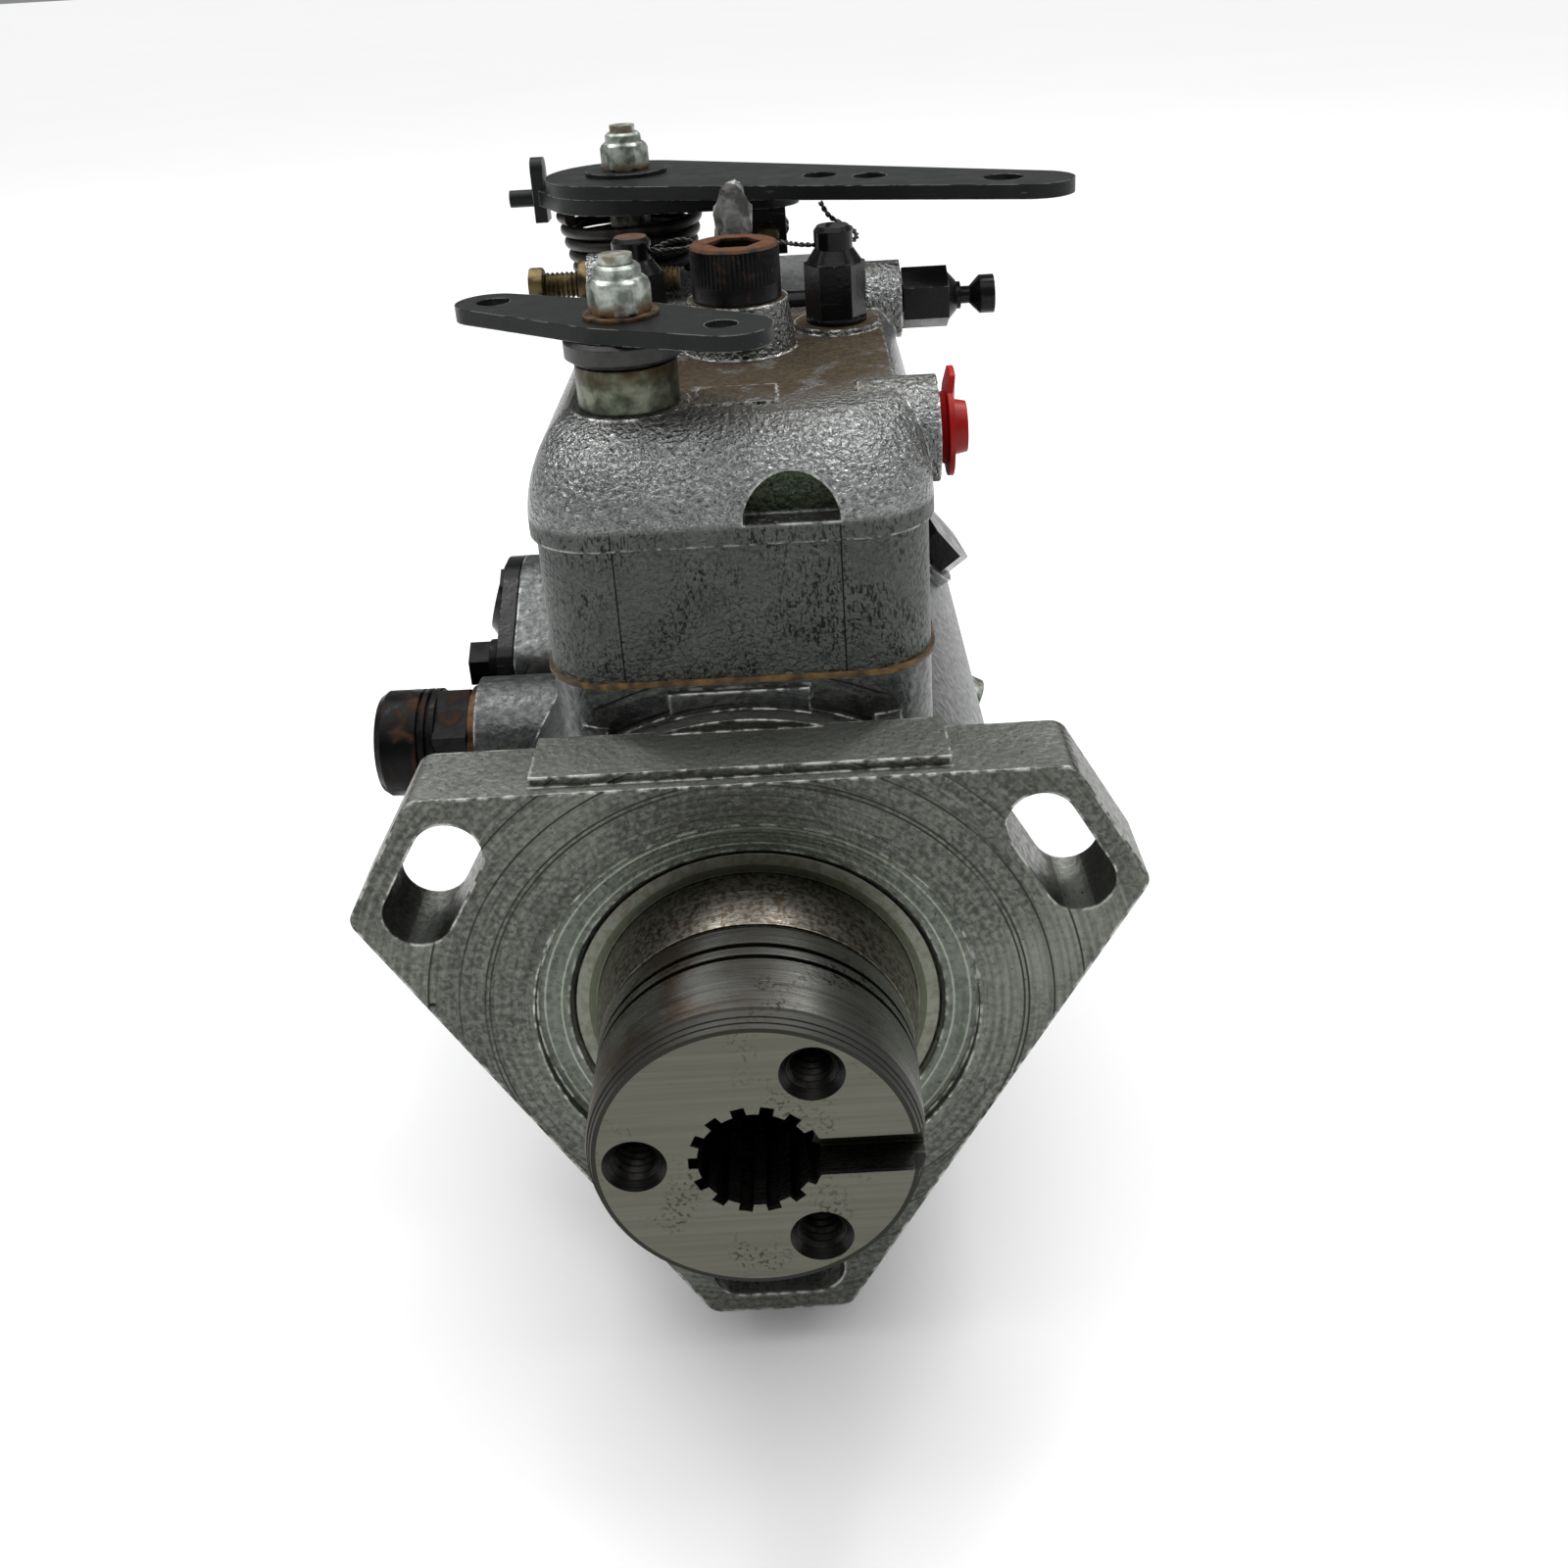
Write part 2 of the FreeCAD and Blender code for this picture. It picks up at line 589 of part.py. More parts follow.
made("hub_screw", cut("hub_screw_solid",
                      fuse("hub_screw_blank", hexagon("hub_screw_head", 10, 4, (0, -10.8, 0), "y"),
                           cylinder("hub_screw_washer", 7.4, 0.8, (0, -6.8, 0), "y"),
                           cylinder("hub_screw_stem", 3, 13.8, (0, -6.8, 0), "y")),
                      cylinder("hub_screw_dimple", 2, 1, (0, -11, 0), "y")))
shaft_blank = turned("shaft_blank", [(0, -1.9), ("shaft_radius", -1.9), ("shaft_radius", 82.5), (9, 82.5),
                                     (9, 84.2), (0, 84.2)])
made("drive_shaft", cut("shaft", shaft_blank, cylinder("shaft_thread", 3.05, 10, (0, -3, 0), "y")))
seal_length = "( seal_back - seal_front ) / 2 - 0.2"
seals = [ring(f"seal_{i}", "seal_bore - 0.05", "hub_collar + 0.06", seal_length, (0, start, 0), "y")
         for i, start in enumerate(("seal_front", "( seal_back + seal_front ) / 2 + 0.2"))]
made("oil_seals", group("seals", seals))
made("hub_bush", ring("bush", "bush_bore - 0.05", "journal_radius + running_gap", 18,
                      (0, "seal_back + 0.8", 0), "y"))

carrier_plate = ring("carrier_plate", "bush_bore", "shaft_radius + 0.05", 2.4, (0, 31.3, 0), "y")
carrier_parts = [carrier_plate]
for number in range(4):
    turn = Rotation(Vector(0, 1, 0), -90 * number)
    for hand in (1, -1):
        cheek = doc.addObject("Part::Box", f"cheek_{number}_{'left' if hand < 0 else 'right'}")
        cheek.Length, cheek.Width, cheek.Height = 5, 8.5, 1.8
        cheek.Placement = Placement(turn.multVec(Vector(14.5, 33, 7.8 if hand > 0 else -9.6)), turn)
        carrier_parts.append(cheek)
    ends = Vector(size("weight_pivot_radius"), size("weight_pivot_y"), -9.4), Vector(0, 0, 1)
    pin = shaped(f"weight_pin_{number}", Part.makeCylinder(1.2, 18.8, *ends))
    pin.Placement = Placement(Vector(), turn)
    carrier_parts.append(pin)
made("weight_carrier", fuse("carrier", *carrier_parts))

for number in range(4):
    turn = Rotation(Vector(0, 1, 0), -90 * number)
    weight = Part.makeBox(11, 17, 15, Vector(13, 40.6, -7.5))
    root = Part.makeBox(5, 3.6, 15, Vector(14.4, 38, -7.5))
    toe = Part.makeBox(8.6, 2.5, 6, Vector(8.2, 36.5, -3)).fuse(Part.makeBox(3, 3.5, 6,
                                                                             Vector(13.8, 36.5, -3)))
    pivot_hole = Part.makeCylinder(1.25, 20, Vector(size("weight_pivot_radius"), size("weight_pivot_y"), -10))
    solid = weight.fuse([root, toe]).removeSplitter().cut(pivot_hole)
    item = shaped(f"weight_{number}", solid)
    item.Placement = Placement(Vector(), turn)
    made(f"flyweight_{number + 1}", item)

sleeve_outline = [("shaft_radius + running_gap", "sleeve_face"), (11.5, "sleeve_face"), (11.5, 62), (15, 62),
                  (15, 66), ("shaft_radius + running_gap", 66)]
made("thrust_sleeve", turned("sleeve", sleeve_outline))

# Governor arm and the parts that hang on it.

arm_leg = [box(f"arm_leg_{side}", (low, 67.3, -4), (high, 69, 34))
           for side, low, high in (("left", -13, -9), ("right", 9, 13))]
arm_nose = [cylinder(f"arm_nose_{side}", 1.4, 4, (low, 67.5, 0), "x")
            for side, low in (("left", -13), ("right", 9))]
arm_plate = box("arm_plate", (-13, 67, 30), (13, 69, 38))
arm_neck = box("arm_neck", (-5, 67, 36), (5, 69, 66))
arm_side = box("arm_side", (3, 67, 49), (13, 69, 55))
arm_holes = [cylinder("arm_pivot_hole", 2.06, 30, (-15, "arm_pivot_y", "arm_pivot_z"), "x"),
             cylinder("arm_spring_hole", 0.9, 6, (0, 65, 62), "y"),
             cylinder("arm_link_hole", 0.7, 6, (10, 65, 52), "y")]
arm_eyes = [cylinder(f"arm_eye_{side}", 3.6, 4, (low, "arm_pivot_y", "arm_pivot_z"), "x")
            for side, low in (("left", -13), ("right", 9))]
arm = cut("arm", fuse("arm_blank", *arm_leg, *arm_nose, *arm_eyes, arm_plate, arm_neck, arm_side), *arm_holes)
link_hook = fuse("link_hook", cylinder("hook_wire", 0.6, 49.4, (10, 66.4, 52), "y"),
                 cylinder("hook_head", 1.2, 0.8, (10, 66.1, 52), "y"))
made("governor_arm_and_link", group("arm_and_link", [arm, link_hook]))
made("governor_spring", coils("control_spring", 3.4, 3.4, 0.55, 3.6, 10, (0, 69.8, 62), "y"))

bracket_top = box("bracket_top", (-19.6, 58, "neck_top - 3.6"), (22, 82, "neck_top - 1.6"))
bracket_window = box("bracket_window", (-7, 60, 40), (15, 73.5, 50))
cheeks = [box(f"bracket_cheek_{side}", (low, 62.4, 18), (high, 70.2, "neck_top - 2"))
          for side, low, high in (("left", -17.2, -14.6), ("right", 14.6, 17.2))]
pins = [cylinder("bracket_pin_left", 2, 6, (-15.2, "arm_pivot_y", "arm_pivot_z"), "x"),
        cylinder("bracket_pin_right", 2, 6, (9.2, "arm_pivot_y", "arm_pivot_z"), "x")]
bracket_holes = [cylinder(f"bracket_hole_{side}", 2.8, 10,
                          (f"cap_nut_{side}", "cap_nut_y", 40)) for side in ("left", "right")]
made("governor_bracket", cut("bracket", fuse("bracket_blank", cut("bracket_frame", bracket_top,
                                                                  bracket_window), *cheeks, *pins),
                             *bracket_holes))

valve_outline = [(0, 14.5), (3, 14.5), (3, 26), (2.2, 27), (2.2, 30), (3, 31), (3, 49), (0, 49)]
valve_stem = turned("valve_stem", valve_outline, "z", ("metering_x", "metering_y", 0))
valve_lever = box("valve_lever", ("metering_x - 3", "metering_y - 2", 48.9),
                  ("metering_x + 8.6", "metering_y + 2", 50.4))
valve_pin = cylinder("valve_pin", 1, 4, ("metering_x + 7", "metering_y", 50))
made("metering_valve", fuse("valve", valve_stem, valve_lever, valve_pin))

# Cam ring, rollers and the distributor rotor.

cam_blank = ring("cam_blank", "head_bore - 0.08", 27, "cam_length", (0, "cam_front", 0), "y")
lobes = []
for number in range(6):
    angle = 30 + 60 * number
    lobes.append(cylinder(f"lobe_{number}", 4, "cam_length",
                          (f"29.6 * cos({angle}deg)", "cam_front", f"29.6 * sin({angle}deg)"), "y"))
cam_pin = fuse("cam_pin", cylinder("cam_pin_stem", 2.4, "advance_arm - 36.1", (0, "advance_y", -36.1), "-z"),
               sphere("cam_pin_ball", 3.6, (0, "advance_y", "0 - advance_arm")))
made("cam_ring_and_pin", group("cam_set", [fuse("cam", cam_blank, *lobes), cam_pin]))

rotor_outline = [(0, 84.4), (15.5, 84.4), (15.5, 98.6), ("shank_radius", 98.6), ("shank_radius", 150),
                 (9, 150), (9, 157.4), (0, 157.4)]
rotor_blank = turned("rotor_blank", rotor_outline)
made("distributor_rotor", cut("rotor", rotor_blank,
                              cylinder("cross_bore", 4.03, 40, (-20, "advance_y", 0), "x"),
                              cylinder("centre_bore", 1.5, 50, (0, 96, 0), "y"),
                              cylinder("feed_bore", 1.2, 24, (-12, 116, 0), "x")))
plungers, shoes, rollers = [], [], []
for side, low, high, centre, axis in (("left", -20.5, -15.8, -20.9, "-x"), ("right", 15.8, 20.5, 20.9, "x")):
    start = -1.5 if side == "left" else 1.5
    plungers.append(cylinder(f"plunger_{side}", 4, 14, (start, "advance_y", 0), axis))
    block = box(f"shoe_block_{side}", (low, "advance_y - 5", -6), (high, "advance_y + 5", 6))
    shoes.append(cut(f"shoe_{side}", block, cylinder(f"shoe_groove_{side}", 4.1, 12,
                                                     (centre, "advance_y - 6", 0), "y")))
    rollers.append(cylinder(f"roller_{side}", 4, 9.6, (centre, "advance_y - 4.8", 0), "y"))
made("plungers_shoes_and_rollers", group("plunger_set", plungers + shoes + rollers))

# Hydraulic head, transfer pump and end plate.

head_outline = [("shank_radius + 0.04", "head_front"), ("head_bore - 0.1", "head_front"),
                ("head_bore - 0.1", "barrel_end + 0.3"),
                ("barrel_radius - 0.6", "barrel_end + 0.3"), ("barrel_radius - 0.6", "head_back"),
                (24, "head_back"),
                (24, "head_back - 8"), ("shank_radius + 0.04", "head_back - 8")]
head_blank = turned("head_blank", head_outline)
outlet_angles = (90, 210, 330)
bolt_angles = (0, 180, 240, 300)
head_tools = [cylinder("metering_bore", 3.05, 40, ("metering_x", "metering_y", 14)),
              cylinder("bore_top_relief", 5, 10, ("metering_x", "metering_y", 33)),
              cylinder("locating_seat", 4.6, 20, radial(LOCATING_TURN, 26, "locating_y"), LOCATING_TURN),
              cylinder("locking_seat", 3.6, 20, radial(LOCKING_TURN, 26), LOCKING_TURN)]
for angle in outlet_angles:
    head_tools.append(cylinder(f"outlet_hole_{angle}", 5, 24, radial(angle, 26, "outlet_y"), angle))
    head_tools.append(cylinder(f"outlet_passage_{angle}", 1.2, 20, radial(angle, 9, "outlet_y"), angle))
for number, angle in enumerate(bolt_angles):
    head_tools.append(cylinder(f"end_thread_{number}", 2.6, 14,
                               (f"cos({angle}deg) * 29.5", "head_back - 12", f"sin({angle}deg) * 29.5"), "y"))
made("hydraulic_head", cut("head", head_blank, *head_tools))


def around_head(name, maker, radius, *dims):
    """One piece at every outlet, starting at a radius from the drive axis."""
    return [maker(f"{name}_{angle}", *dims, radial(angle, radius, "outlet_y"),
                  angle) for angle in outlet_angles]


unions = [fuse(f"outlet_union_{i}", *pieces) for i, pieces in enumerate(zip(
    around_head("outlet_stem", cylinder, 30, 4.95, 14), around_head("outlet_hex", hexagon, 43.6, 14, 6),
    around_head("outlet_nose", cylinder, 49, 5.9, 8)))]
bores_out = around_head("outlet_bore", cylinder, 29, 1.5, 30)
made("outlet_unions", group("unions", [cut(f"outlet_union_bored_{i}", solid, bore)
                                       for i, (solid, bore) in enumerate(zip(unions, bores_out))]))
liner = cut("liner_blank", cylinder("liner_outer", 23.9, 7.4, (0, "head_back - 7.8", 0), "y"),
            cylinder("liner_bore", 17, 9, (1.8, "head_back - 8.5", 0), "y"))
made("transfer_pump_liner", liner)
transfer = cut("transfer_blank", cylinder("transfer_disc", 14, 7, (0, "head_back - 7.6", 0), "y"),
               cylinder("transfer_bore", 9.05, 9, (0, "head_back - 8.5", 0), "y"),
               box("blade_slot_right", (10.25, "head_back - 9", -1.05), (16, "head_back", 1.05)),
               box("blade_slot_left", (-16, "head_back - 9", -1.05), (-10.25, "head_back", 1.05)),
               box("blade_slot_top", (-1.05, "head_back - 9", 10.25), (1.05, "head_back", 16)),
               box("blade_slot_bottom", (-1.05, "head_back - 9", -16), (1.05, "head_back", -10.25)))
blades = [box("blade_right", (10.3, "head_back - 7.5", -1), (15, "head_back - 0.7", 1)),
          box("blade_left", (-15, "head_back - 7.5", -1), (-10.3, "head_back - 0.7", 1)),
          box("blade_top", (-1, "head_back - 7.5", 10.3), (1, "head_back - 0.7", 15)),
          box("blade_bottom", (-1, "head_back - 7.5", -15), (1, "head_back - 0.7", -10.3))]
made("transfer_pump_rotor_and_blades", group("transfer_set", [transfer] + blades))

plate_disc = cylinder("plate_disc", 36, 8, (0, "head_back + 0.2", 0), "y")
valve_tower = cylinder("valve_tower", 9, 56, (-12, "head_back + 10", -20))
inlet_tower = cylinder("inlet_tower", 8.8, 46, (12, "head_back + 10", -10))
plate_blank = fuse("plate_blank", plate_disc, valve_tower, inlet_tower)
plate_tools = [cylinder("valve_bore", 4.55, 49, (-12, "head_back + 10", -13)),
               cylinder("inlet_bore", 5.2, 45, (12, "head_back + 10", -4))]
for number, angle in enumerate(bolt_angles):
    plate_tools.append(cylinder(f"plate_hole_{number}", 3.2, 30,
                                (f"cos({angle}deg) * 29.5", "head_back - 2", f"sin({angle}deg) * 29.5"), "y"))
    plate_tools.append(cylinder(f"plate_seat_{number}", 6, 30,
                                (f"cos({angle}deg) * 29.5", "head_back + 8.2", f"sin({angle}deg) * 29.5"),
                                "y"))
made("end_plate", cut("plate", plate_blank, *plate_tools))
bolts = []
for number, angle in enumerate(bolt_angles):
    there = f"cos({angle}deg) * 29.5", f"sin({angle}deg) * 29.5"
    head_end = hexagon(f"plate_bolt_head_{number}", 8, 4.4, (there[0], "head_back + 8.25", there[1]), "y")
    stem = cylinder(f"plate_bolt_stem_{number}", 2.5, 19, (there[0], "head_back - 10.5", there[1]), "y")
    bolts.append(fuse(f"plate_bolt_{number}", head_end, stem))
made("end_plate_bolts", group("plate_bolts", bolts))
made("regulating_piston", turned("piston_turned", [(0, -9), (4.5, -9), (4.5, 1), (2, 2), (2, 4), (0, 4)],
                                 "z", (-12, "head_back + 10", 0)))
made("regulating_spring", coils("valve_spring", 3.2, 3.2, 0.5, 3.6, 8, (-12, "head_back + 10", 2.1)))
plug_outline = [(0, 31.6), (4.5, 31.6), (4.5, 36.2), (8.4, 36.2), (8.4, 38), (0, 38)]
made("regulating_plug", fuse("valve_plug", turned("plug_turned", plug_outline, "z",
                                                  (-12, "head_back + 10", 0)),
                             hexagon("plug_hex", 13, 5, (-12, "head_back + 10", 38))))
inlet_blank = fuse("inlet_blank", cylinder("inlet_stem", 5.15, 11, (12, "head_back + 10", 25.4)),
                   hexagon("inlet_hex", 16, 6, (12, "head_back + 10", 36.2)),
                   cylinder("inlet_nose", 6.5, 10, (12, "head_back + 10", 42)))
made("inlet_union", cut("inlet", inlet_blank, cylinder("inlet_way", 3.2, 40, (12, "head_back + 10", 20))))

# Advance unit: a piston across the pump turns the cam ring through a ball pin.

advance_blank = fuse("advance_blank", cylinder("advance_barrel", "advance_radius", 72,
                                               (-36, "advance_y", "advance_z"), "x"),
                     box("advance_seat", (-17, "advance_y - 13", "advance_z"), (17, "advance_y + 13", -44.6)))
advance_tools = [box("advance_face", (-40, "advance_y - 15", -44.6), (40, "advance_y + 15", -40)),
                 cylinder("piston_bore", "piston_radius + running_gap", 80, (-40, "advance_y", "advance_z"),
                          "x"),
                 box("pin_slot", (-9.5, "advance_y - 4.6", "advance_z"), (9.5, "advance_y + 4.6", -40))]
made("advance_housing", cut("advance", advance_blank, *advance_tools))
piston_blank = cylinder("piston_blank", "piston_radius", 34, (-17, "advance_y", "advance_z"), "x")
made("advance_piston", cut("piston", piston_blank,
                           cylinder("pin_hole", 3.7, 20, (0, "advance_y", "0 - advance_arm - 4")),
                           cylinder("spring_room", 7, 12, (7, "advance_y", "advance_z"), "x")))
made("advance_spring", coils("advance_coils", 5.6, 5.6, 0.8, 3.5, 6, (8.2, "advance_y", "advance_z"), "x"))
plugs = []
for side, start, axis in (("left", -36.2, "-x"), ("right", 36.2, "x")):
    inward = "x" if axis == "-x" else "-x"
    solid = fuse(f"advance_plug_{side}", hexagon(f"advance_plug_hex_{side}", 19, 6,
                                                 (start, "advance_y", "advance_z"), axis),
                 cylinder(f"advance_plug_neck_{side}", "piston_radius - 0.05", 7,
                          (start, "advance_y", "advance_z"), inward))
    room = cylinder(f"advance_plug_room_{side}", 7, 8, (start, "advance_y", "advance_z"), inward)
    plugs.append(cut(f"advance_plug_hollow_{side}", solid, room))
made("advance_plugs", group("plugs", plugs))

# Controls on the deck.

def hex_nut(name, flats, height, collar, at, hole):
    """A self-locking nut: a hexagon under a round collar, on its stud end."""
    x, y, z = at
    bar = hexagon(name + "_bar", flats, height, at)
    crown = cone(name + "_crown", f"{flats} / 2 + 0.35", f"{flats} / 2 - 1.1", collar,
                 (x, y, f"{z} + {height}"))
    trim = cone(name + "_trim", f"{flats} / 2 + 2.6", f"{flats} / 2", f"{height} + {collar}", at)
    bar_trimmed = doc.addObject("Part::MultiCommon", name + "_trimmed")
    bar_trimmed.Shapes = [bar, trim]
    return cut(name, fuse(name + "_blank", bar_trimmed, crown),
               cylinder(name + "_hole", hole, 20, (x, y, f"{z} - 1")))


made("shut_off_sleeve", ring("sleeve_ring", 7.6, 7.25, 6.6,
                             ("shut_off_x", "shut_off_y", "deck_height + 0.2")))
cap_profile = [("spindle_radius + 0.06", "deck_height + 7.2"), (7.9, "deck_height + 7.2"),
               (8.9, "deck_height + 7.9"),
               (8.9, "deck_height + 10.2"), (8.3, "deck_height + 10.8"),
               ("spindle_radius + 0.06", "deck_height + 10.8")]
made("shut_off_dust_cap", turned("dust_cap", cap_profile, "z", ("shut_off_x", "shut_off_y", 0)))
spindle_profile = [(0, "crank_foot"), (4.2, "crank_foot"), (4.2, "crank_foot + 3"),
                   ("spindle_radius", "crank_foot + 3"),
                   ("spindle_radius", "shut_off_lever_top - lever_thickness"),
                   (2.45, "shut_off_lever_top - lever_thickness"), (2.45, "shut_off_lever_top + 8.9"),
                   (0, "shut_off_lever_top + 8.9")]
crank = box("shut_off_crank", (-6.6, -2.2, "crank_foot"), (0, 2.2, "crank_foot + 3"))
crank_pin = cylinder("shut_off_crank_pin", 1.5, 8, ("0 - crank_radius", 0, "crank_foot - 7"))
crank_set = fuse("crank_set", crank, crank_pin)
half_swing = 17.5  # the crank stands this many degrees off the bar's line at rest
crank_set.Placement = Placement(Vector(size("shut_off_x"), size("shut_off_y"), 0),
                                Rotation(Vector(0, 0, 1), half_swing))
made("shut_off_spindle", fuse("spindle", turned("spindle_turned", spindle_profile, "z",
                                                ("shut_off_x", "shut_off_y", 0)), crank_set))
bar_head = box("bar_head", (-21.5, 31.2, "bar_foot"), (-15.5, 40, "bar_foot + bar_thickness"))
bar_strip = box("bar_strip", (-21.5, 39, "bar_foot"), (-18.8, 104, "bar_foot + bar_thickness"))
pin_line = f"shut_off_y - crank_radius * sin({half_swing}deg)"
bar_slot = box("bar_slot", (-20.7, pin_line + " - 1.6", "bar_foot - 1"),
               (-17.1, pin_line + " + 1.6", "bar_foot + 5"))
made("shut_off_bar", cut("bar", fuse("bar_blank", bar_head, bar_strip), bar_slot))


def lever(name, arms, hub_radius, thickness, top, centre):
    """A flat lever: a bar from the spindle to the end of each arm, with its holes."""
    blank, holes = None, [(Vector(), 2.5)]
    for angle, reach, end_radius, arm_holes in arms:
        heading = Vector(cos(radians(angle)), sin(radians(angle)), 0)
        face = link_face(Vector(), hub_radius, heading * reach, end_radius)
        blank = face if blank is None else blank.fuse(face)
        holes += [(heading * distance, radius) for distance, radius in arm_holes]
    plate = blank.removeSplitter().extrude(Vector(0, 0, thickness))
    for spot, radius in holes:
        plate = plate.cut(Part.makeCylinder(radius, 10, spot - Vector(0, 0, 5)))
    item = shaped(name, plate.removeSplitter())
    item.Placement = Placement(Vector(size(centre + "_x"), size(centre + "_y"), top - thickness), Rotation())
    return item


shut_off_arms = [(148, 25, 5.6, [(24.6, 2.6)]), (-30, 18.5, 6.3, [(17.2, 2.4)])]
made("shut_off_lever", lever("stop_lever", shut_off_arms, 8, size("lever_thickness"),
                             size("shut_off_lever_top"), "shut_off"))
stop_washer = ring("stop_washer", 5.6, 2.55, 0.5, ("shut_off_x", "shut_off_y", "shut_off_lever_top + 0.02"))
stop_nut = hex_nut("stop_nut", "nut_flats", 5, 2, ("shut_off_x", "shut_off_y", "shut_off_lever_top + 0.55"),
                   2.5)
made("shut_off_nut_and_washer", group("stop_fastener", [stop_nut, stop_washer]))

throttle_profile = [(0, "deck_height - 20"), ("spindle_radius", "deck_height - 20"),
                    ("spindle_radius", "throttle_lever_top - 6"), (2.45, "throttle_lever_top - 6"),
                    (2.45, "throttle_lever_top + 9.2"), (0, "throttle_lever_top + 9.2")]
throttle_crank = box("throttle_crank", ("throttle_x", "throttle_y - 2.5", "deck_height - 20"),
                     ("throttle_x + 8", "throttle_y + 2.5", "deck_height - 17"))
made("throttle_spindle", fuse("throttle_spindle_solid",
                              turned("throttle_turned", throttle_profile, "z",
                                     ("throttle_x", "throttle_y", 0)), throttle_crank))
made("throttle_spring", coils("torsion_spring", 10.9, 13.4, 1.2, 2.55, 4.6,
                              ("throttle_x", "throttle_y", "deck_height + 1.3")))
throttle_arms = [(-23, 82, 7.4, [(41, 3.2), (51, 3.2), (76.5, 3.6)])]
made("throttle_lever", lever("speed_lever", throttle_arms, 16, 2.6, size("throttle_lever_top"), "throttle"))
stop_arms = [(-20, 29, 6.5, []), (150, 10, 10, [])]
stop_plate = lever("stop_plate", stop_arms, 15.4, 3, size("throttle_lever_top") - 2.65, "throttle")
stop_lug = box("stop_lug", ("throttle_x + 24", "throttle_y - 14.2", "stop_screw_z - 4"),
               ("throttle_x + 31", "throttle_y - 11.2", "throttle_lever_top - 4"))
left_lug = box("left_lug", ("throttle_x - 19.1", "throttle_y + 1", "throttle_lever_top - 5.65"),
               ("throttle_x - 13.5", "throttle_y + 6", "throttle_lever_top - 2.65"))
left_ear = box("left_ear", ("throttle_x - 19.1", "throttle_y + 1", "throttle_lever_top - 9"),
               ("throttle_x - 16.6", "throttle_y + 6", "throttle_lever_top + 1"))
left_ear_top = cylinder("left_ear_top", 2.5, 2.5,
                        ("throttle_x - 19.1", "throttle_y + 3.5", "throttle_lever_top + 1"), "x")
left_pin = cylinder("left_pin", 1.7, 6, ("throttle_x - 24", "throttle_y + 3.5", "throttle_lever_top - 4.4"),
                    "x")
stop_screw_hole = cylinder("stop_screw_hole", 2.1, 10,
                           ("throttle_x + 27.5", "throttle_y - 17", "stop_screw_z"), "y")
made("throttle_stop_plate", cut("stop_plate_solid",
                                fuse("stop_plate_blank", stop_plate, stop_lug, left_lug, left_ear,
                                                         left_ear_top, left_pin), stop_screw_hole))
speed_washer = ring("speed_washer", 8, 2.55, 0.8, ("throttle_x", "throttle_y", "throttle_lever_top + 0.02"))
speed_nut = hex_nut("speed_nut", "nut_flats", 5, 2.2,
                    ("throttle_x", "throttle_y", "throttle_lever_top + 0.85"), 2.5)
made("throttle_nut_and_washer", group("speed_fastener", [speed_nut, speed_washer]))
stop_screw = [cylinder("stop_screw_stem", 2, 16, ("throttle_x + 27.5", "throttle_y - 20", "stop_screw_z"),
                       "y"),
              hexagon("stop_screw_nut", 7, 3, ("throttle_x + 27.5", "throttle_y - 11", "stop_screw_z"), "y"),
              hexagon("stop_screw_head", 7, 3, ("throttle_x + 27.5", "throttle_y - 5.5", "stop_screw_z"),
                      "y")]
made("throttle_stop_screw", fuse("stop_screw", *stop_screw))

cap_nuts = []
for side in ("left", "right"):
    spot = (f"cap_nut_{side}", "cap_nut_y")
    bar = hexagon(f"cap_bar_{side}", 9, 9.6, (*spot, "deck_height + 1.6"))
    foot = cylinder(f"cap_foot_{side}", 5.2, 0.8, (*spot, "deck_height + 1.05"))
    shoulder = cone(f"cap_shoulder_{side}", 4.9, 3.3, 2.4, (*spot, "deck_height + 11"))
    knob = cylinder(f"cap_knob_{side}", 3.3, 3.8, (*spot, "deck_height + 12.6"))
    tip = cone(f"cap_tip_{side}", 3.3, 2.7, 0.8, (*spot, "deck_height + 16.4"))
    body = fuse(f"cap_body_{side}", bar, foot, shoulder, knob, tip)
    wire_hole = cylinder(f"cap_wire_hole_{side}", 0.9, 10,
                         (f"cap_nut_{side} - 5", "cap_nut_y", "deck_height + 14"), "x")
    stud_room = cylinder(f"cap_stud_room_{side}", 2.55, 9.4, (*spot, "deck_height + 1"))
    cap_nuts.append(cut(f"cap_nut_solid_{side}", body, wire_hole, stud_room))
studs = [cylinder(f"stud_{side}", 2.45, "deck_height - 22.5",
                  (f"cap_nut_{side}", "cap_nut_y", 31)) for side in ("left", "right")]
made("cover_studs_and_cap_nuts", group("stud_set", cap_nuts + studs))

socket = hexagon("vent_socket", 7.7, 6, ("vent_x", "vent_y", "vent_boss_top + 5.5"))
vent_blank = fuse("vent_blank", cylinder("vent_head", 7.3, 8.9, ("vent_x", "vent_y", "vent_boss_top + 0.1")),
                  cone("vent_bevel", 7.3, 6.8, 0.5, ("vent_x", "vent_y", "vent_boss_top + 9")),
                  cylinder("vent_stem", 3.95, 18, ("vent_x", "vent_y", "vent_boss_top - 17")))
made("vent_screw", cut("vent", vent_blank, socket))

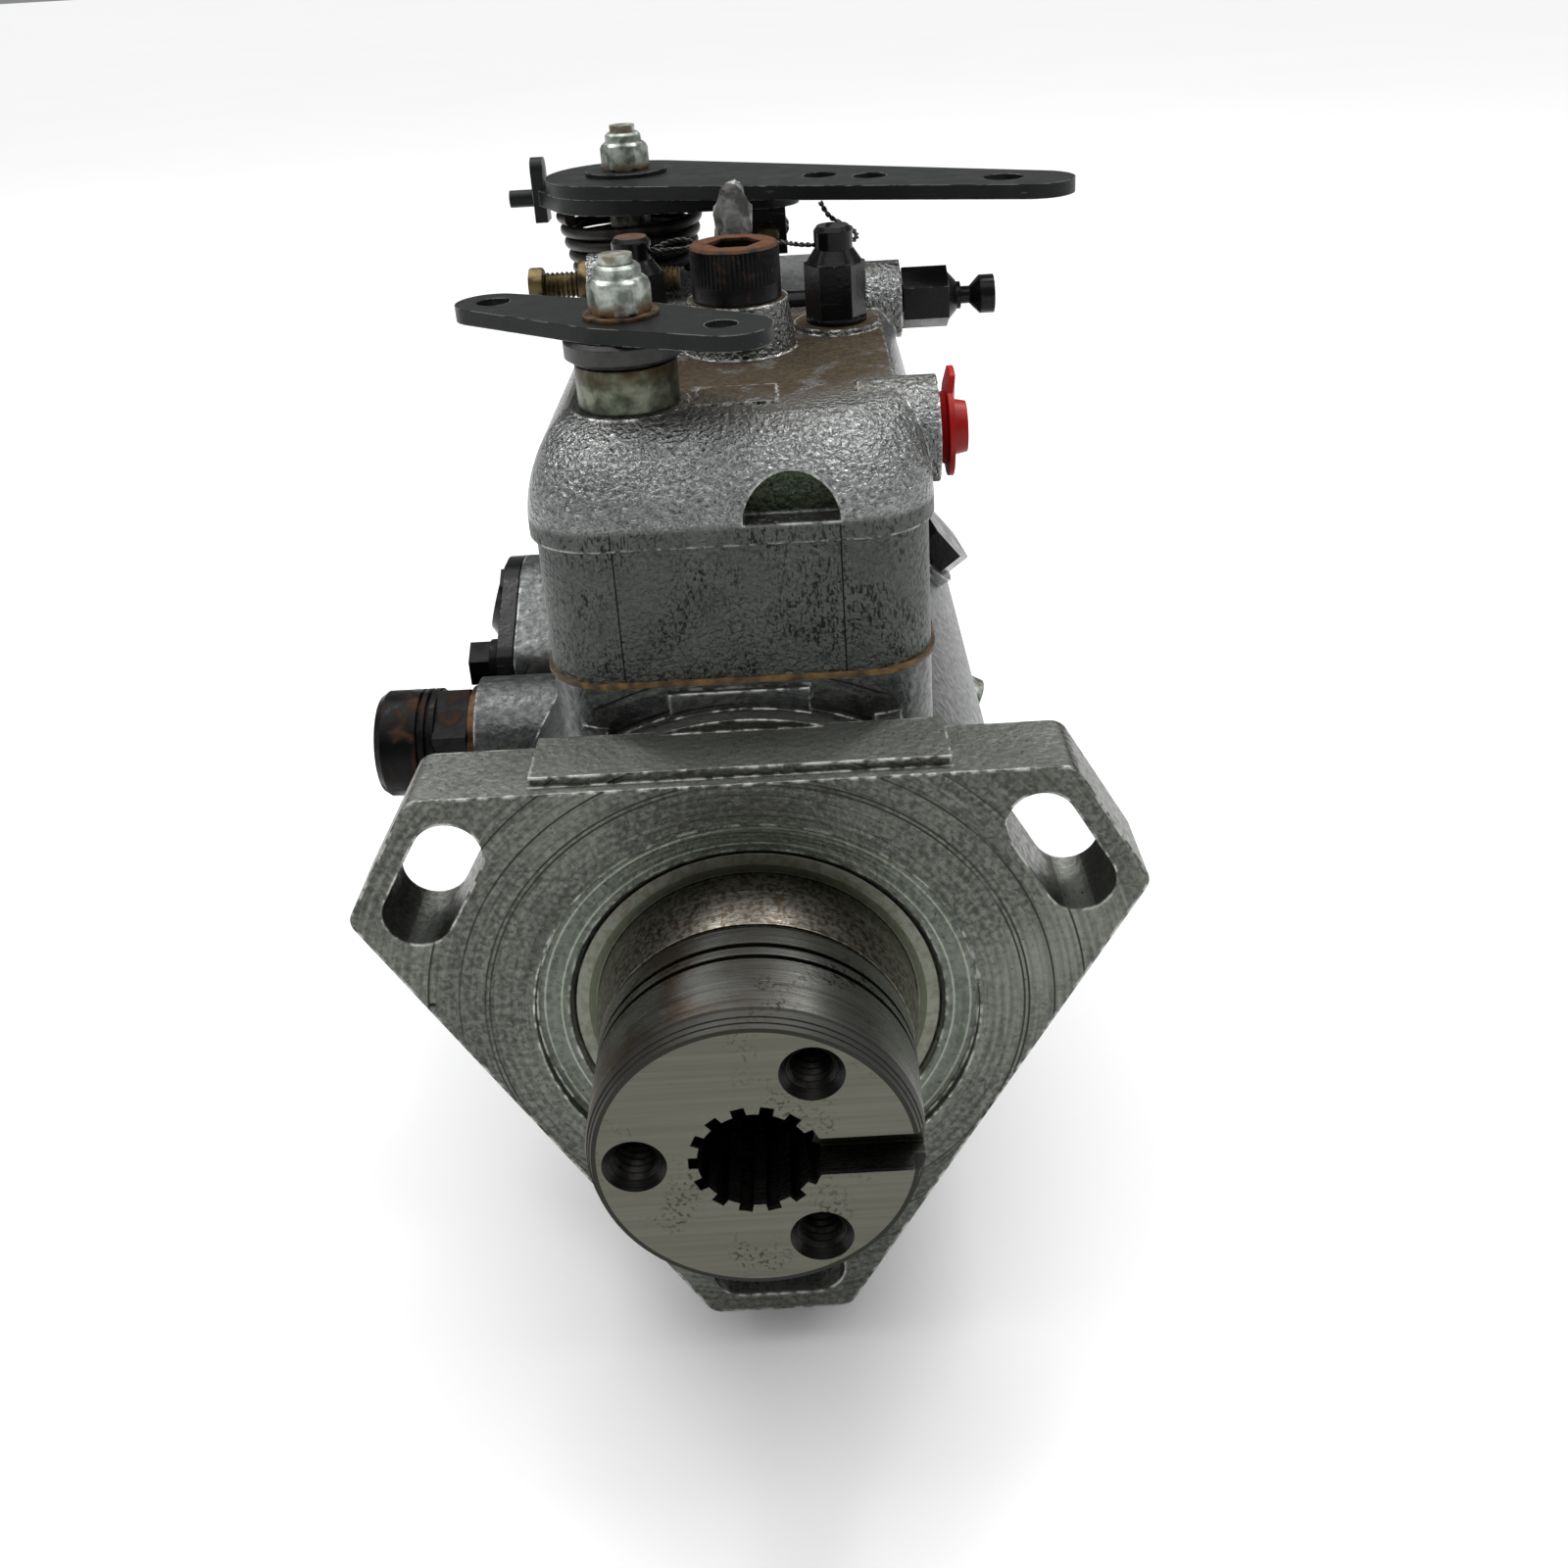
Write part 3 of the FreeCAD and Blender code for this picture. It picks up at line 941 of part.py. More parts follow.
max_profile = [(0, 6), (2.5, 6), (2.5, 41.5), (1.6, 41.5), (1.6, 43.2), (3.5, 45), (3.5, 47.6), (0, 47.6)]
max_screw = turned("max_screw", max_profile, "x", (0, "max_screw_y", "deck_height"))
max_nut_blank = fuse("max_nut_blank", hexagon("max_nut_bar", 9.8, 8.2, (30.9, "max_screw_y", "deck_height"),
                                              "x"),
                     cone("max_nut_end", 4.6, 2.8, 1.6, (39.1, "max_screw_y", "deck_height"), "x"))
max_nut = cut("max_nut", max_nut_blank, cylinder("max_nut_hole", 2.55, 14,
                                                 (30, "max_screw_y", "deck_height"), "x"))
made("max_speed_screw_and_nut", group("max_set", [max_screw, max_nut]))
idle_blank = fuse("idle_blank", cylinder("idle_stem", 2.5, 33, (-43, "idle_screw_y", "idle_screw_z"), "x"),
                  hexagon("idle_head", 7, 2.6, (-42, "idle_screw_y", "idle_screw_z"), "-x"))
idle_nut = cut("idle_nut", hexagon("idle_nut_bar", 8, 3, (-30.3, "idle_screw_y", "idle_screw_z"), "x"),
               cylinder("idle_nut_hole", 2.55, 5, (-31, "idle_screw_y", "idle_screw_z"), "x"))
made("idle_speed_screw_and_nut", group("idle_set", [idle_blank, idle_nut]))

plug_profile = [(0, 24), (4.5, 24), (4.5, 32.1), (5.6, 32.6), (5.6, 34.6), (6.9, 35), (6.9, 36), (4, 36),
                (4, 39.2), (2.6, 39.6), (2.6, 37), (0, 37)]
red_plug = fuse("red_plug_solid", turned("red_plug_turned", plug_profile, "x", (0, 38, "return_port_z")),
                box("red_plug_tab", (35, 36.4, "return_port_z + 5.4"), (36, 39.6, "return_port_z + 9")))
made("return_port_plug", red_plug)

# Fittings in the sides of the housing.

made("union_washer", ring("copper_ring", 9.6, 6.1, 1.4, (-49.1, "union_y", "union_z"), "-x"))
union_blank = fuse("side_union_blank", hexagon("side_union_hex", 17.6, 6, (-50.6, "union_y", "union_z"),
                                               "-x"),
                   cylinder("side_union_stem", 5.95, 13, (-38, "union_y", "union_z"), "-x"),
                   turned("side_union_barrel", [(0, -56.5), (9.6, -56.5), (9.6, -57.6), (8.9, -57.6),
                                                (8.9, -58.2), (9.6, -58.2),
                                                (9.6, -59.1), (8.9, -59.1), (8.9, -59.7), (9.6, -59.7),
                                                (9.6, -66), (8.8, -67.2), (0, -67.2)],
                          "x", (0, "union_y", "union_z")))
made("side_union", cut("side_union_solid", union_blank,
                       cylinder("side_union_way", 4.2, 40, (-75, "union_y", "union_z"), "x"),
                       cylinder("side_union_mouth", 6.2, 8, (-68, "union_y", "union_z"), "x")))
plate = inspection_solid("inspection_plate", 0, -47.6, 3)
ears = ("inspection_y - inspection_ear", "inspection_y + inspection_ear")
plate_holes = [cylinder(f"inspection_hole_{i}", 2.9, 10, (-50, ear, "inspection_z"), "x")
               for i, ear in enumerate(ears)]
made("inspection_cover", cut("inspection_cover_solid", plate, *plate_holes))
cover_bolts = []
for number, ear in enumerate(ears):
    there = (ear, "inspection_z")
    cover_bolts.append(fuse(f"inspection_bolt_{number}",
                            hexagon(f"inspection_bolt_head_{number}", 8, 3.8, (-49.1, *there), "-x"),
                            cylinder(f"inspection_bolt_washer_{number}", 4.6, 1.4, (-47.7, *there), "-x"),
                            cylinder(f"inspection_bolt_stem_{number}", 2.5, 14, (-36, *there), "-x")))
made("inspection_cover_bolts", group("inspection_bolts", cover_bolts))


made("head_locating_fitting", fuse("locating_fitting",
                                   cylinder("locating_stem", 4.5, 20,
                                            radial(LOCATING_TURN, 28, "locating_y"), LOCATING_TURN),
                                   cylinder("locating_neck", 5.9, 8,
                                            radial(LOCATING_TURN, 39, "locating_y"), LOCATING_TURN),
                                   cylinder("locating_head", 8.9, 11.5,
                                            radial(LOCATING_TURN, 46.3, "locating_y"), LOCATING_TURN),
                                   cone("locating_end", 8.9, 7.2, 2,
                                        radial(LOCATING_TURN, 57.8, "locating_y"), LOCATING_TURN)))
made("head_locking_screw", fuse("locking_screw",
                                cylinder("locking_stem", 3.5, 22, radial(LOCKING_TURN, 28), LOCKING_TURN),
                                hexagon("locking_head", 13, 5.2, radial(LOCKING_TURN, 45.8), LOCKING_TURN)))

# Seal: a twisted wire through both cap nuts, with a crimped lead seal on it.

def rounded_route(points, bend):
    """Straight runs between the points, joined by arcs that touch both runs."""
    edges, start = [], points[0]
    for before, corner, after in zip(points, points[1:], points[2:]):
        back, ahead = (before - corner).normalize(), (after - corner).normalize()
        half_angle = back.getAngle(ahead) / 2
        reach = bend / tan(half_angle)
        middle = corner + (back + ahead).normalize() * (bend / sin(half_angle) - bend)
        edges.append(Part.LineSegment(start, corner + back * reach).toShape())
        edges.append(Part.Arc(corner + back * reach, middle, corner + ahead * reach).toShape())
        start = corner + ahead * reach
    edges.append(Part.LineSegment(start, points[-1]).toShape())
    return Part.Wire(edges)


seal_height = size("deck_height") + 14
behind = size("vent_y") + 17.5
left, right = size("cap_nut_left"), size("cap_nut_right")
corners = [Vector(left + 1.2, size("cap_nut_y"), seal_height),
           Vector(left + 5.4, size("cap_nut_y"), seal_height),
           Vector(-4, behind - 1, seal_height), Vector(9, behind - 1, seal_height),
           Vector(right - 5.4, size("cap_nut_y"), seal_height),
           Vector(right - 1.2, size("cap_nut_y"), seal_height)]
wire_path = rounded_route(corners, 4)
rim = Part.Wire(Part.makeCircle(0.62, corners[0], corners[1] - corners[0]))
made("seal_wire", shaped("seal_wire_solid", wire_path.makePipeShell([rim], True, False)))
lead_blank = Part.makeBox(6.2, 3.2, 9.4, Vector(-1.4, behind - 3.4, seal_height + 1.2))
made("lead_seal", shaped("lead_seal_solid", lead_blank.makeFillet(1.2, lead_blank.Edges)))

# Check every object and every part before any file is written.

doc.recompute()
faulty = [item.Name for item in doc.Objects if {"Invalid", "Error"} & set(item.State)]
if faulty:
    raise RuntimeError("not computed: " + ", ".join(faulty))
for item in nodes:
    if item.Shape.isNull() or not item.Shape.isValid() or not item.Shape.Solids:
        raise RuntimeError("no valid solid in " + item.Label)
if len({item.Label for item in nodes}) != len(nodes):
    raise RuntimeError("two parts have the same name")

os.makedirs("parts", exist_ok=True)
for item in nodes:
    item.Shape.exportStep(f"parts/{item.Label}.step")
    box_size = item.Shape.BoundBox
    print(f"{item.Label:24} solids {len(item.Shape.Solids)}  volume {item.Shape.Volume:9.0f}  "
          f"X {box_size.XMin:7.1f} {box_size.XMax:7.1f}  Y {box_size.YMin:7.1f} {box_size.YMax:7.1f}  "
          f"Z {box_size.ZMin:7.1f} {box_size.ZMax:7.1f}")
print(len(nodes), "parts")
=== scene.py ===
# %% [markdown]
# # Dressing a rotary injection pump
#
# The pump arrives as an exact set of metal parts, each one where it belongs. This
# lesson adds what those parts lack: finishes that tell cast metal from turned
# metal, wear, rust and dirt, a few small pieces with fine relief, and the light
# and camera of a product photograph.

# %% The frame
from math import cos, pi, radians, sin

import bmesh
import bpy
from mathutils import Euler, Matrix, Vector, noise


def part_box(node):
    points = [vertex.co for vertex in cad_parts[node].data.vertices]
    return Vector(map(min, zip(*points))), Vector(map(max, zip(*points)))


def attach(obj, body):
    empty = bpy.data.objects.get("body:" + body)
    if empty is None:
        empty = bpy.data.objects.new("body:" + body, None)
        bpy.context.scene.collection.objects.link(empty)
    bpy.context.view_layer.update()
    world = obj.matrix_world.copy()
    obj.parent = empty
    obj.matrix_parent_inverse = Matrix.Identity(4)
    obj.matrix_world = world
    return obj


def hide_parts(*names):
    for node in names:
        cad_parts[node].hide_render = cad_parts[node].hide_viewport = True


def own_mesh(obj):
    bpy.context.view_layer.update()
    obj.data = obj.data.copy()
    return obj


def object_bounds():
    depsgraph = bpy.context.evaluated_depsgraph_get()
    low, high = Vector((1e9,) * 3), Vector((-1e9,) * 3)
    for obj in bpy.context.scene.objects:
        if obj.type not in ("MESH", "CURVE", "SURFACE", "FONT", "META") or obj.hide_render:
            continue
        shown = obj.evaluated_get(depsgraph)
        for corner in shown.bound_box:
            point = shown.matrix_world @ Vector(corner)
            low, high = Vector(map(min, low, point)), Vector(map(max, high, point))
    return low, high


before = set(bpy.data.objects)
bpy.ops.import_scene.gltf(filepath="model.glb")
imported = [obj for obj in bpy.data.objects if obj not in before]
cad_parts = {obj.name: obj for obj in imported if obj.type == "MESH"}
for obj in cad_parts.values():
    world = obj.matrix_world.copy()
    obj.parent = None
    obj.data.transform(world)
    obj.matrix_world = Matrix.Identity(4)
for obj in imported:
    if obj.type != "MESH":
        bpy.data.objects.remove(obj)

cad_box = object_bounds()
MM = 0.001
print("parts in the frame:", len(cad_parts))

# %% [markdown]
# ## The camera
#
# A photograph of a machined part hides its camera in the part's own edges. The
# flange, the hub's rings and the cover's long edges were matched to known shapes,
# which gives one place and three angles. The lens is wide and close, so the hub
# looms and the rear of the pump shrinks. Matching the view first means that every
# later comparison is fair.

# %% The camera
IMAGE_SIDE = 1600
FOCAL_PIXELS = 1566
PICTURE_CENTRE = (820, 600)
SENSOR_WIDTH = 36
CAMERA_PLACE = (0.0116, -0.1857, 0.1519)
YAW, PITCH, ROLL = radians(-0.34), radians(23.83), radians(3.29)

camera_data = bpy.data.cameras.new("photo_camera")
camera_data.sensor_width = SENSOR_WIDTH
camera_data.lens = FOCAL_PIXELS / IMAGE_SIDE * SENSOR_WIDTH
camera_data.shift_x = (IMAGE_SIDE / 2 - PICTURE_CENTRE[0]) / IMAGE_SIDE
camera_data.shift_y = (PICTURE_CENTRE[1] - IMAGE_SIDE / 2) / IMAGE_SIDE
camera_data.clip_start = 0.01
camera = bpy.data.objects.new("photo_camera", camera_data)
bpy.context.collection.objects.link(camera)

aim = Euler((pi / 2 - PITCH, 0, -YAW)).to_matrix().to_4x4()
lean = Matrix.Rotation(-ROLL, 4, "Z")
camera.matrix_world = Matrix.Translation(CAMERA_PLACE) @ aim @ lean
bpy.context.scene.camera = camera
print("lens:", round(camera_data.lens, 2), "mm")

# %% [markdown]
# ## Floor and light
#
# The pump stands in front of plain white. A wide soft sun straight above whitens
# the floor evenly, however far it reaches, where a lamp would leave a grey rim.
# Metal needs something darker to mirror as well, so the room itself is dim. Two
# long soft boxes hang above the pump, left and right, and lighten the top of the
# hub in two soft stripes. The plain view transform keeps white white.

# %% Floor and light
FLOOR_GAP = 0.0005
FLOOR_HALF_SIDE = 8
HUB_TOP = (0, -0.02, 0.02)
PUMP_MIDDLE = (0, 0.05, 0.03)

floor_mesh = bpy.data.meshes.new("floor")
flat = bmesh.new()
bmesh.ops.create_grid(flat, x_segments=1, y_segments=1, size=FLOOR_HALF_SIDE)
bmesh.ops.translate(flat, verts=flat.verts, vec=(0, 0, cad_box[0][2] - FLOOR_GAP))
flat.to_mesh(floor_mesh)
flat.free()
floor = bpy.data.objects.new("floor", floor_mesh)
bpy.context.collection.objects.link(floor)


def soft_box(name, place, target, width, height, power):
    light = bpy.data.lights.new(name, "AREA")
    light.shape = "RECTANGLE"
    light.size, light.size_y = width, height
    light.energy = power
    box = bpy.data.objects.new(name, light)
    bpy.context.collection.objects.link(box)
    look = (Vector(target) - Vector(place)).to_track_quat("-Z", "Y")
    box.matrix_world = Matrix.Translation(place) @ look.to_matrix().to_4x4()


soft_box("stripe_box_left", (-0.44, 0.42, 0.90), HUB_TOP, 0.07, 0.6, 3.2)
soft_box("stripe_box_right", (0.34, 0.42, 0.90), HUB_TOP, 0.07, 0.6, 3.2)
soft_box("left_box", (-1.0, -0.1, 0.55), PUMP_MIDDLE, 0.4, 0.8, 1.6)
soft_box("right_box", (1.0, 0.1, 0.55), PUMP_MIDDLE, 0.4, 0.8, 1.6)

sky = bpy.data.lights.new("soft_sky", "SUN")
sky.energy = 2.4
sky.angle = radians(80)
sky_object = bpy.data.objects.new("soft_sky", sky)
bpy.context.collection.objects.link(sky_object)

world = bpy.data.worlds.new("studio")
bpy.context.scene.world = world
world.use_nodes = True
room = world.node_tree.nodes["Background"].inputs
room["Color"].default_value = (0.97, 1.0, 0.98, 1)
room["Strength"].default_value = 0.26
bpy.context.scene.view_settings.view_transform = "Standard"

# %% [markdown]
# ## A short way to write finishes
#
# A finish is a little network of nodes. Writing each one out takes many lines, so
# this class keeps the network being built and offers the few steps that every
# finish of this pump needs: a noise, a ramp from number to colour, a mix, and a
# bump. All patterns are placed by the object's own coordinates in metres, so a
# noise of scale 300 has grains about three millimetres across.

# %% A short way to write finishes
class Finish:
    def __init__(self, name, metallic=1.0, roughness=0.4):
        self.material = bpy.data.materials.new(name)
        self.material.use_nodes = True
        self.nodes = self.material.node_tree.nodes
        self.links = self.material.node_tree.links
        self.shader = self.nodes["Principled BSDF"]
        self.shader.inputs["Metallic"].default_value = metallic
        self.shader.inputs["Roughness"].default_value = roughness
        self.place = self.nodes.new("ShaderNodeTexCoord").outputs["Object"]
        self.geometry = self.nodes.new("ShaderNodeNewGeometry")

    def add(self, kind, inputs, **settings):
        """Add a node; an input given as a socket is linked, a number is set."""
        node = self.nodes.new("ShaderNode" + kind)
        for name, value in settings.items():
            setattr(node, name, value)
        for name, value in inputs.items():
            if isinstance(value, bpy.types.NodeSocket):
                self.links.new(value, node.inputs[name])
            else:
                node.inputs[name].default_value = value
        return node

    def noise(self, scale, detail=3, stretch=None, distortion=0.0, vector=None):
        vector = vector or self.place
        if stretch:
            vector = self.add("Mapping", {"Vector": vector, "Scale": stretch}).outputs[0]
        inputs = {"Vector": vector, "Scale": scale, "Detail": detail, "Distortion": distortion}
        return self.add("TexNoise", inputs).outputs["Fac"]

    def math(self, operation, first, second=0.0):
        return self.add("Math", {0: first, 1: second}, operation=operation).outputs[0]

    def step(self, value, start, end, low=0.0, high=1.0):
        """Slide smoothly from low to high while the value goes from start to end."""
        inputs = {"Value": value, "From Min": start, "From Max": end, "To Min": low, "To Max": high}
        return self.add("MapRange", inputs, interpolation_type="SMOOTHSTEP").outputs[0]

    def within(self, value, middle, half, blur):
        """White where the value lies within half of the middle."""
        away = self.math("ABSOLUTE", self.math("SUBTRACT", value, middle))
        return self.step(away, half, half + blur, 1.0, 0.0)

    def both(self, *masks):
        """White where every one of the masks is white."""
        result = masks[0]
        for mask in masks[1:]:
            result = self.math("MULTIPLY", result, mask)
        return result

    def mix(self, factor, first, second, blend="MIX"):
        node = self.nodes.new("ShaderNodeMix")
        node.data_type = "RGBA"
        node.blend_type = blend
        for index, value in ((0, factor), (6, first), (7, second)):
            if isinstance(value, bpy.types.NodeSocket):
                self.links.new(value, node.inputs[index])
            elif index == 0:
                node.inputs[0].default_value = value
            else:
                node.inputs[index].default_value = (*value, 1)
        return node.outputs[2]

    def axis(self, letter):
        return self.add("SeparateXYZ", {"Vector": self.place}).outputs[letter]

    def facing(self, letter):
        return self.add("SeparateXYZ", {"Vector": self.geometry.outputs["True Normal"]}).outputs[letter]

    def flattened(self):
        """The place as seen along the drive axis."""
        return self.add("VectorMath", {0: self.place, 1: (1, 0, 1)}, operation="MULTIPLY").outputs[0]

    def from_drive_axis(self):
        """Distance from the drive axis, in metres."""
        return self.add("VectorMath", {0: self.flattened()}, operation="LENGTH").outputs["Value"]

    def around_streaks(self, distance, scale, detail=4):
        """Streaks that run round the drive axis: fine across, slow along."""
        slow_across = {0: self.place, 1: (0.02, 1, 0.02)}
        drift = self.add("VectorMath", slow_across, operation="MULTIPLY").outputs[0]
        along = self.add("CombineXYZ", {"X": distance}).outputs[0]
        vector = self.add("VectorMath", {0: along, 1: drift}, operation="ADD").outputs[0]
        return self.noise(scale, detail, vector=vector)

    def edge(self, radius, low, high):
        """White along sharp edges: there a rounded normal parts from the true one."""
        rounded = self.add("Bevel", {"Radius": radius}, samples=4).outputs[0]
        pair = {0: rounded, 1: self.geometry.outputs["True Normal"]}
        agree = self.add("VectorMath", pair, operation="DOT_PRODUCT").outputs["Value"]
        return self.step(self.math("SUBTRACT", 1.0, agree), low, high)

    def crevice(self, reach):
        """White in corners that light hardly enters."""
        open_sky = self.add("AmbientOcclusion", {"Distance": reach}, samples=4).outputs["AO"]
        return self.math("SUBTRACT", 1.0, open_sky)

    def grey(self, value):
        """One number as red, green and blue."""
        return self.add("CombineXYZ", {"X": value, "Y": value, "Z": value}).outputs[0]

    def tinted(self, colour, tint):
        return self.mix(1.0, colour, tint, "MULTIPLY")

    def sheen(self, level):
        self.shader.inputs["Specular IOR Level"].default_value = level

    def colour(self, value):
        self.links.new(value, self.shader.inputs["Base Color"])

    def roughness(self, value):
        self.links.new(value, self.shader.inputs["Roughness"])

    def metallic(self, value):
        self.links.new(value, self.shader.inputs["Metallic"])

    def bump(self, height, distance, strength=1.0, soft_edge=0.0):
        inputs = {"Height": height, "Distance": distance, "Strength": strength}
        if soft_edge:
            inputs["Normal"] = self.add("Bevel", {"Radius": soft_edge}, samples=4).outputs[0]
        normal = self.add("Bump", inputs).outputs[0]
        self.links.new(normal, self.shader.inputs["Normal"])


finishes = {}


def dress(finish, *names):
    """Give the finish to CAD nodes by name."""
    finishes[finish.material.name] = finish
    for name in names:
        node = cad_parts[name]
        node.data.materials.clear()
        node.data.materials.append(finish.material)


print("steps of a finish:", [name for name in vars(Finish) if not name.startswith("_")])

# %% [markdown]
# ## Floor finish
#
# The floor is matt and nearly white, with a trace of unevenness so that it does
# not look like a screen.

# %% Floor finish
paper = Finish("pale_floor", metallic=0.0, roughness=0.9)
paper.colour(paper.mix(paper.noise(6), (0.92, 0.92, 0.92), (0.95, 0.95, 0.95)))
floor.data.materials.append(paper.material)
print("floor finish:", len(paper.nodes), "nodes")

# %% [markdown]
# ## Machined and cast aluminium of the housing
#
# The housing is cast, then turned. Its flange shows both: fine rings from the
# lathe round the drive axis, over a mottled grey that years of oil have left, and
# bright chips along every edge, which also serve as painted edge highlights. One
# network does it all, since the flange is one piece with the barrel. The rings are
# a noise that reads the distance from the axis, so it is fine across the rings and
# slow along them. Behind the flange the cast skin has coarser blotches and no
# rings, and oil has greened the recess round the hub.

# %% Mottled and turned metal
FLANGE_BACK = 0.0145

housing = Finish("oiled_aluminium", metallic=1.0)
from_axis = housing.from_drive_axis()
lathe_rings = housing.around_streaks(from_axis, 1500)
faces_axis = housing.step(housing.math("ABSOLUTE", housing.facing("Y")), 0.9, 0.99)
blotches = housing.noise(1050, 6, distortion=0.5)
cloud = housing.noise(38, 4)
mottle = housing.step(blotches, 0.34, 0.66)
turned_grey = housing.mix(mottle, (0.062, 0.065, 0.057), (0.122, 0.126, 0.113))
turned_grey = housing.mix(housing.step(cloud, 0.45, 0.75), turned_grey, (0.150, 0.155, 0.138))
turned_grey = housing.mix(housing.step(cloud, 0.50, 0.25, 0.0, 0.6), turned_grey, (0.060, 0.063, 0.055))
ring_light = housing.step(lathe_rings, 0.35, 0.66, 0.70, 1.22)
ringed_grey = housing.tinted(turned_grey, housing.grey(ring_light))
turned_grey = housing.mix(housing.math("MULTIPLY", faces_axis, 0.75), turned_grey, ringed_grey)
# Faces that look up are painted twice as bright: a painted highlight from the light above.
looks_up = housing.step(housing.facing("Z"), 0.85, 0.97)
turned_grey = housing.mix(looks_up, turned_grey, housing.tinted(turned_grey, (2.0, 2.0, 2.05)))
cast_blotches = housing.step(housing.noise(620, 6), 0.35, 0.65)
cast_grey = housing.mix(cast_blotches, (0.068, 0.072, 0.070), (0.118, 0.123, 0.119))
behind_flange = housing.step(housing.axis("Y"), FLANGE_BACK, FLANGE_BACK + 0.001)
skin = housing.mix(behind_flange, turned_grey, cast_grey)
print("housing tones:", len(housing.nodes), "nodes so far")

# %% Scratches, oil and bright edges
RECESS_EDGE = 0.0335
RECESS_RINGS = (0.0322, 0.0297, 0.0281)
SCRIBED_RINGS = (0.0402, 0.0409, 0.0447, 0.0493)
RECESS_FLOOR = 0.02
LEFT_CORNER = -0.030

in_recess = housing.both(housing.step(from_axis, RECESS_EDGE, RECESS_EDGE + 0.001, 1.0, 0.0),
                         housing.step(housing.axis("Y"), RECESS_FLOOR, RECESS_FLOOR + 0.001, 1.0, 0.0))
skin = housing.mix(housing.math("MULTIPLY", in_recess, 0.45), skin, (0.120, 0.140, 0.110))
# The thin pale rings in the recess are painted highlights along its steps.
for ring in RECESS_RINGS:
    highlight_ring = housing.both(in_recess, housing.within(from_axis, ring, 0.00010, 0.00012))
    skin = housing.mix(highlight_ring, skin, (0.24, 0.26, 0.22))
for ring in SCRIBED_RINGS:
    scribed_ring = housing.both(faces_axis, housing.within(from_axis, ring, 0.00009, 0.00012),
                                housing.step(cloud, 0.3, 0.5))
    skin = housing.mix(scribed_ring, skin, (0.030, 0.030, 0.026))
scribed = housing.both(faces_axis, housing.step(housing.around_streaks(from_axis, 2600), 0.68, 0.74))
skin = housing.mix(housing.math("MULTIPLY", scribed, 0.4), skin, (0.26, 0.27, 0.25))
specks = housing.step(housing.noise(1900, 2), 0.66, 0.72)
skin = housing.mix(specks, skin, (0.035, 0.032, 0.026))
gouges = housing.both(housing.step(housing.noise(330, 3, stretch=(0.35, 1, 1)), 0.72, 0.75),
                      housing.step(housing.axis("X"), LEFT_CORNER, LEFT_CORNER - 0.006))
skin = housing.mix(gouges, skin, (0.015, 0.014, 0.012))
# Crevices are darkened to brown: partly dirt, partly painted shade where light hardly enters.
crevice_dirt_and_shade = housing.both(housing.step(housing.crevice(0.006), 0.40, 0.95),
                    housing.step(housing.noise(240, 4), 0.3, 0.6))
skin = housing.mix(housing.math("MULTIPLY", crevice_dirt_and_shade, 0.8), skin, (0.040, 0.032, 0.022))
# Pale edges: partly chipped metal, partly painted edge highlights.
chips_and_edge_highlights = housing.both(housing.edge(0.0008, 0.01, 0.12), housing.step(housing.noise(420, 4), 0.44, 0.60))
housing.colour(housing.mix(chips_and_edge_highlights, skin, (0.72, 0.72, 0.69)))
satin = housing.step(blotches, 0.3, 0.7, 0.50, 0.32)
housing.roughness(housing.math("ADD", satin, housing.math("MULTIPLY", looks_up, 0.12)))
housing.metallic(housing.math("SUBTRACT", 1.0, housing.math("MULTIPLY", crevice_dirt_and_shade, 0.7)))
ring_relief = housing.both(lathe_rings, faces_axis)
relief = housing.math("ADD", housing.noise(850, 4), housing.math("MULTIPLY", ring_relief, 0.6))
housing.bump(relief, 0.00025, 0.7, soft_edge=0.0004)
dress(housing, "pump_housing", "advance_housing")
print("housing finish:", len(housing.nodes), "nodes")

# %% [markdown]
# ## Die-cast skin of the governor cover
#
# The cover came out of a steel mould, so its dome has the soft orange-peel shine
# of die-cast metal. The upright wall below it was never polished: its darker
# colour is partly that duller skin and partly painted shade. It is freckled with
# fine upright squiggles, and has two thin lines where the parts of the mould met.
# Brown oily dirt has settled on the deck round the fittings. The height above the
# axis tells dome from wall, and the way a face points tells the deck from the sides.

# %% Dome and wall
RIDGE = 0.0728
DECK = 0.086
MOULD_LINES = (-0.0167, 0.0161)

cover = Finish("die_cast_aluminium", metallic=1.0)
height = cover.axis("Z")
on_dome = cover.step(height, RIDGE - 0.0008, RIDGE + 0.0006)
peel = cover.noise(1300, 3, distortion=0.4)
dome_grey = cover.mix(cover.noise(90, 4), (0.130, 0.134, 0.132), (0.290, 0.298, 0.292))
glint = cover.step(peel, 0.42, 0.64, 0.85, 1.25)
dome_grey = cover.tinted(dome_grey, cover.grey(glint))
# The wall's darker grey is partly its duller skin, partly painted shade.
wall_grey = cover.mix(cover.noise(160, 4), (0.070, 0.077, 0.072), (0.135, 0.144, 0.136))
runs = cover.noise(2200, 3, stretch=(1, 1, 0.45), distortion=0.8)
patches = cover.noise(110, 4)
squiggles = cover.both(cover.step(runs, 0.50, 0.62), cover.step(patches, 0.30, 0.60))
wall_grey = cover.mix(cover.math("MULTIPLY", squiggles, 0.9), wall_grey, (0.014, 0.016, 0.014))
for place in MOULD_LINES:
    line = cover.both(cover.within(cover.axis("X"), place, 0.00006, 0.0001),
                      cover.step(cover.facing("Y"), -0.9, -0.95))
    wall_grey = cover.mix(line, wall_grey, (0.012, 0.012, 0.011))
skin = cover.mix(on_dome, wall_grey, dome_grey)
print("mould lines:", len(MOULD_LINES))

# %% Deck dirt, half moon and edges
HALF_MOON_X = 0.0093
HALF_MOON_HALF_WIDTH = 0.0068
VENT_MIDDLE = (0.001, 0.062, DECK)

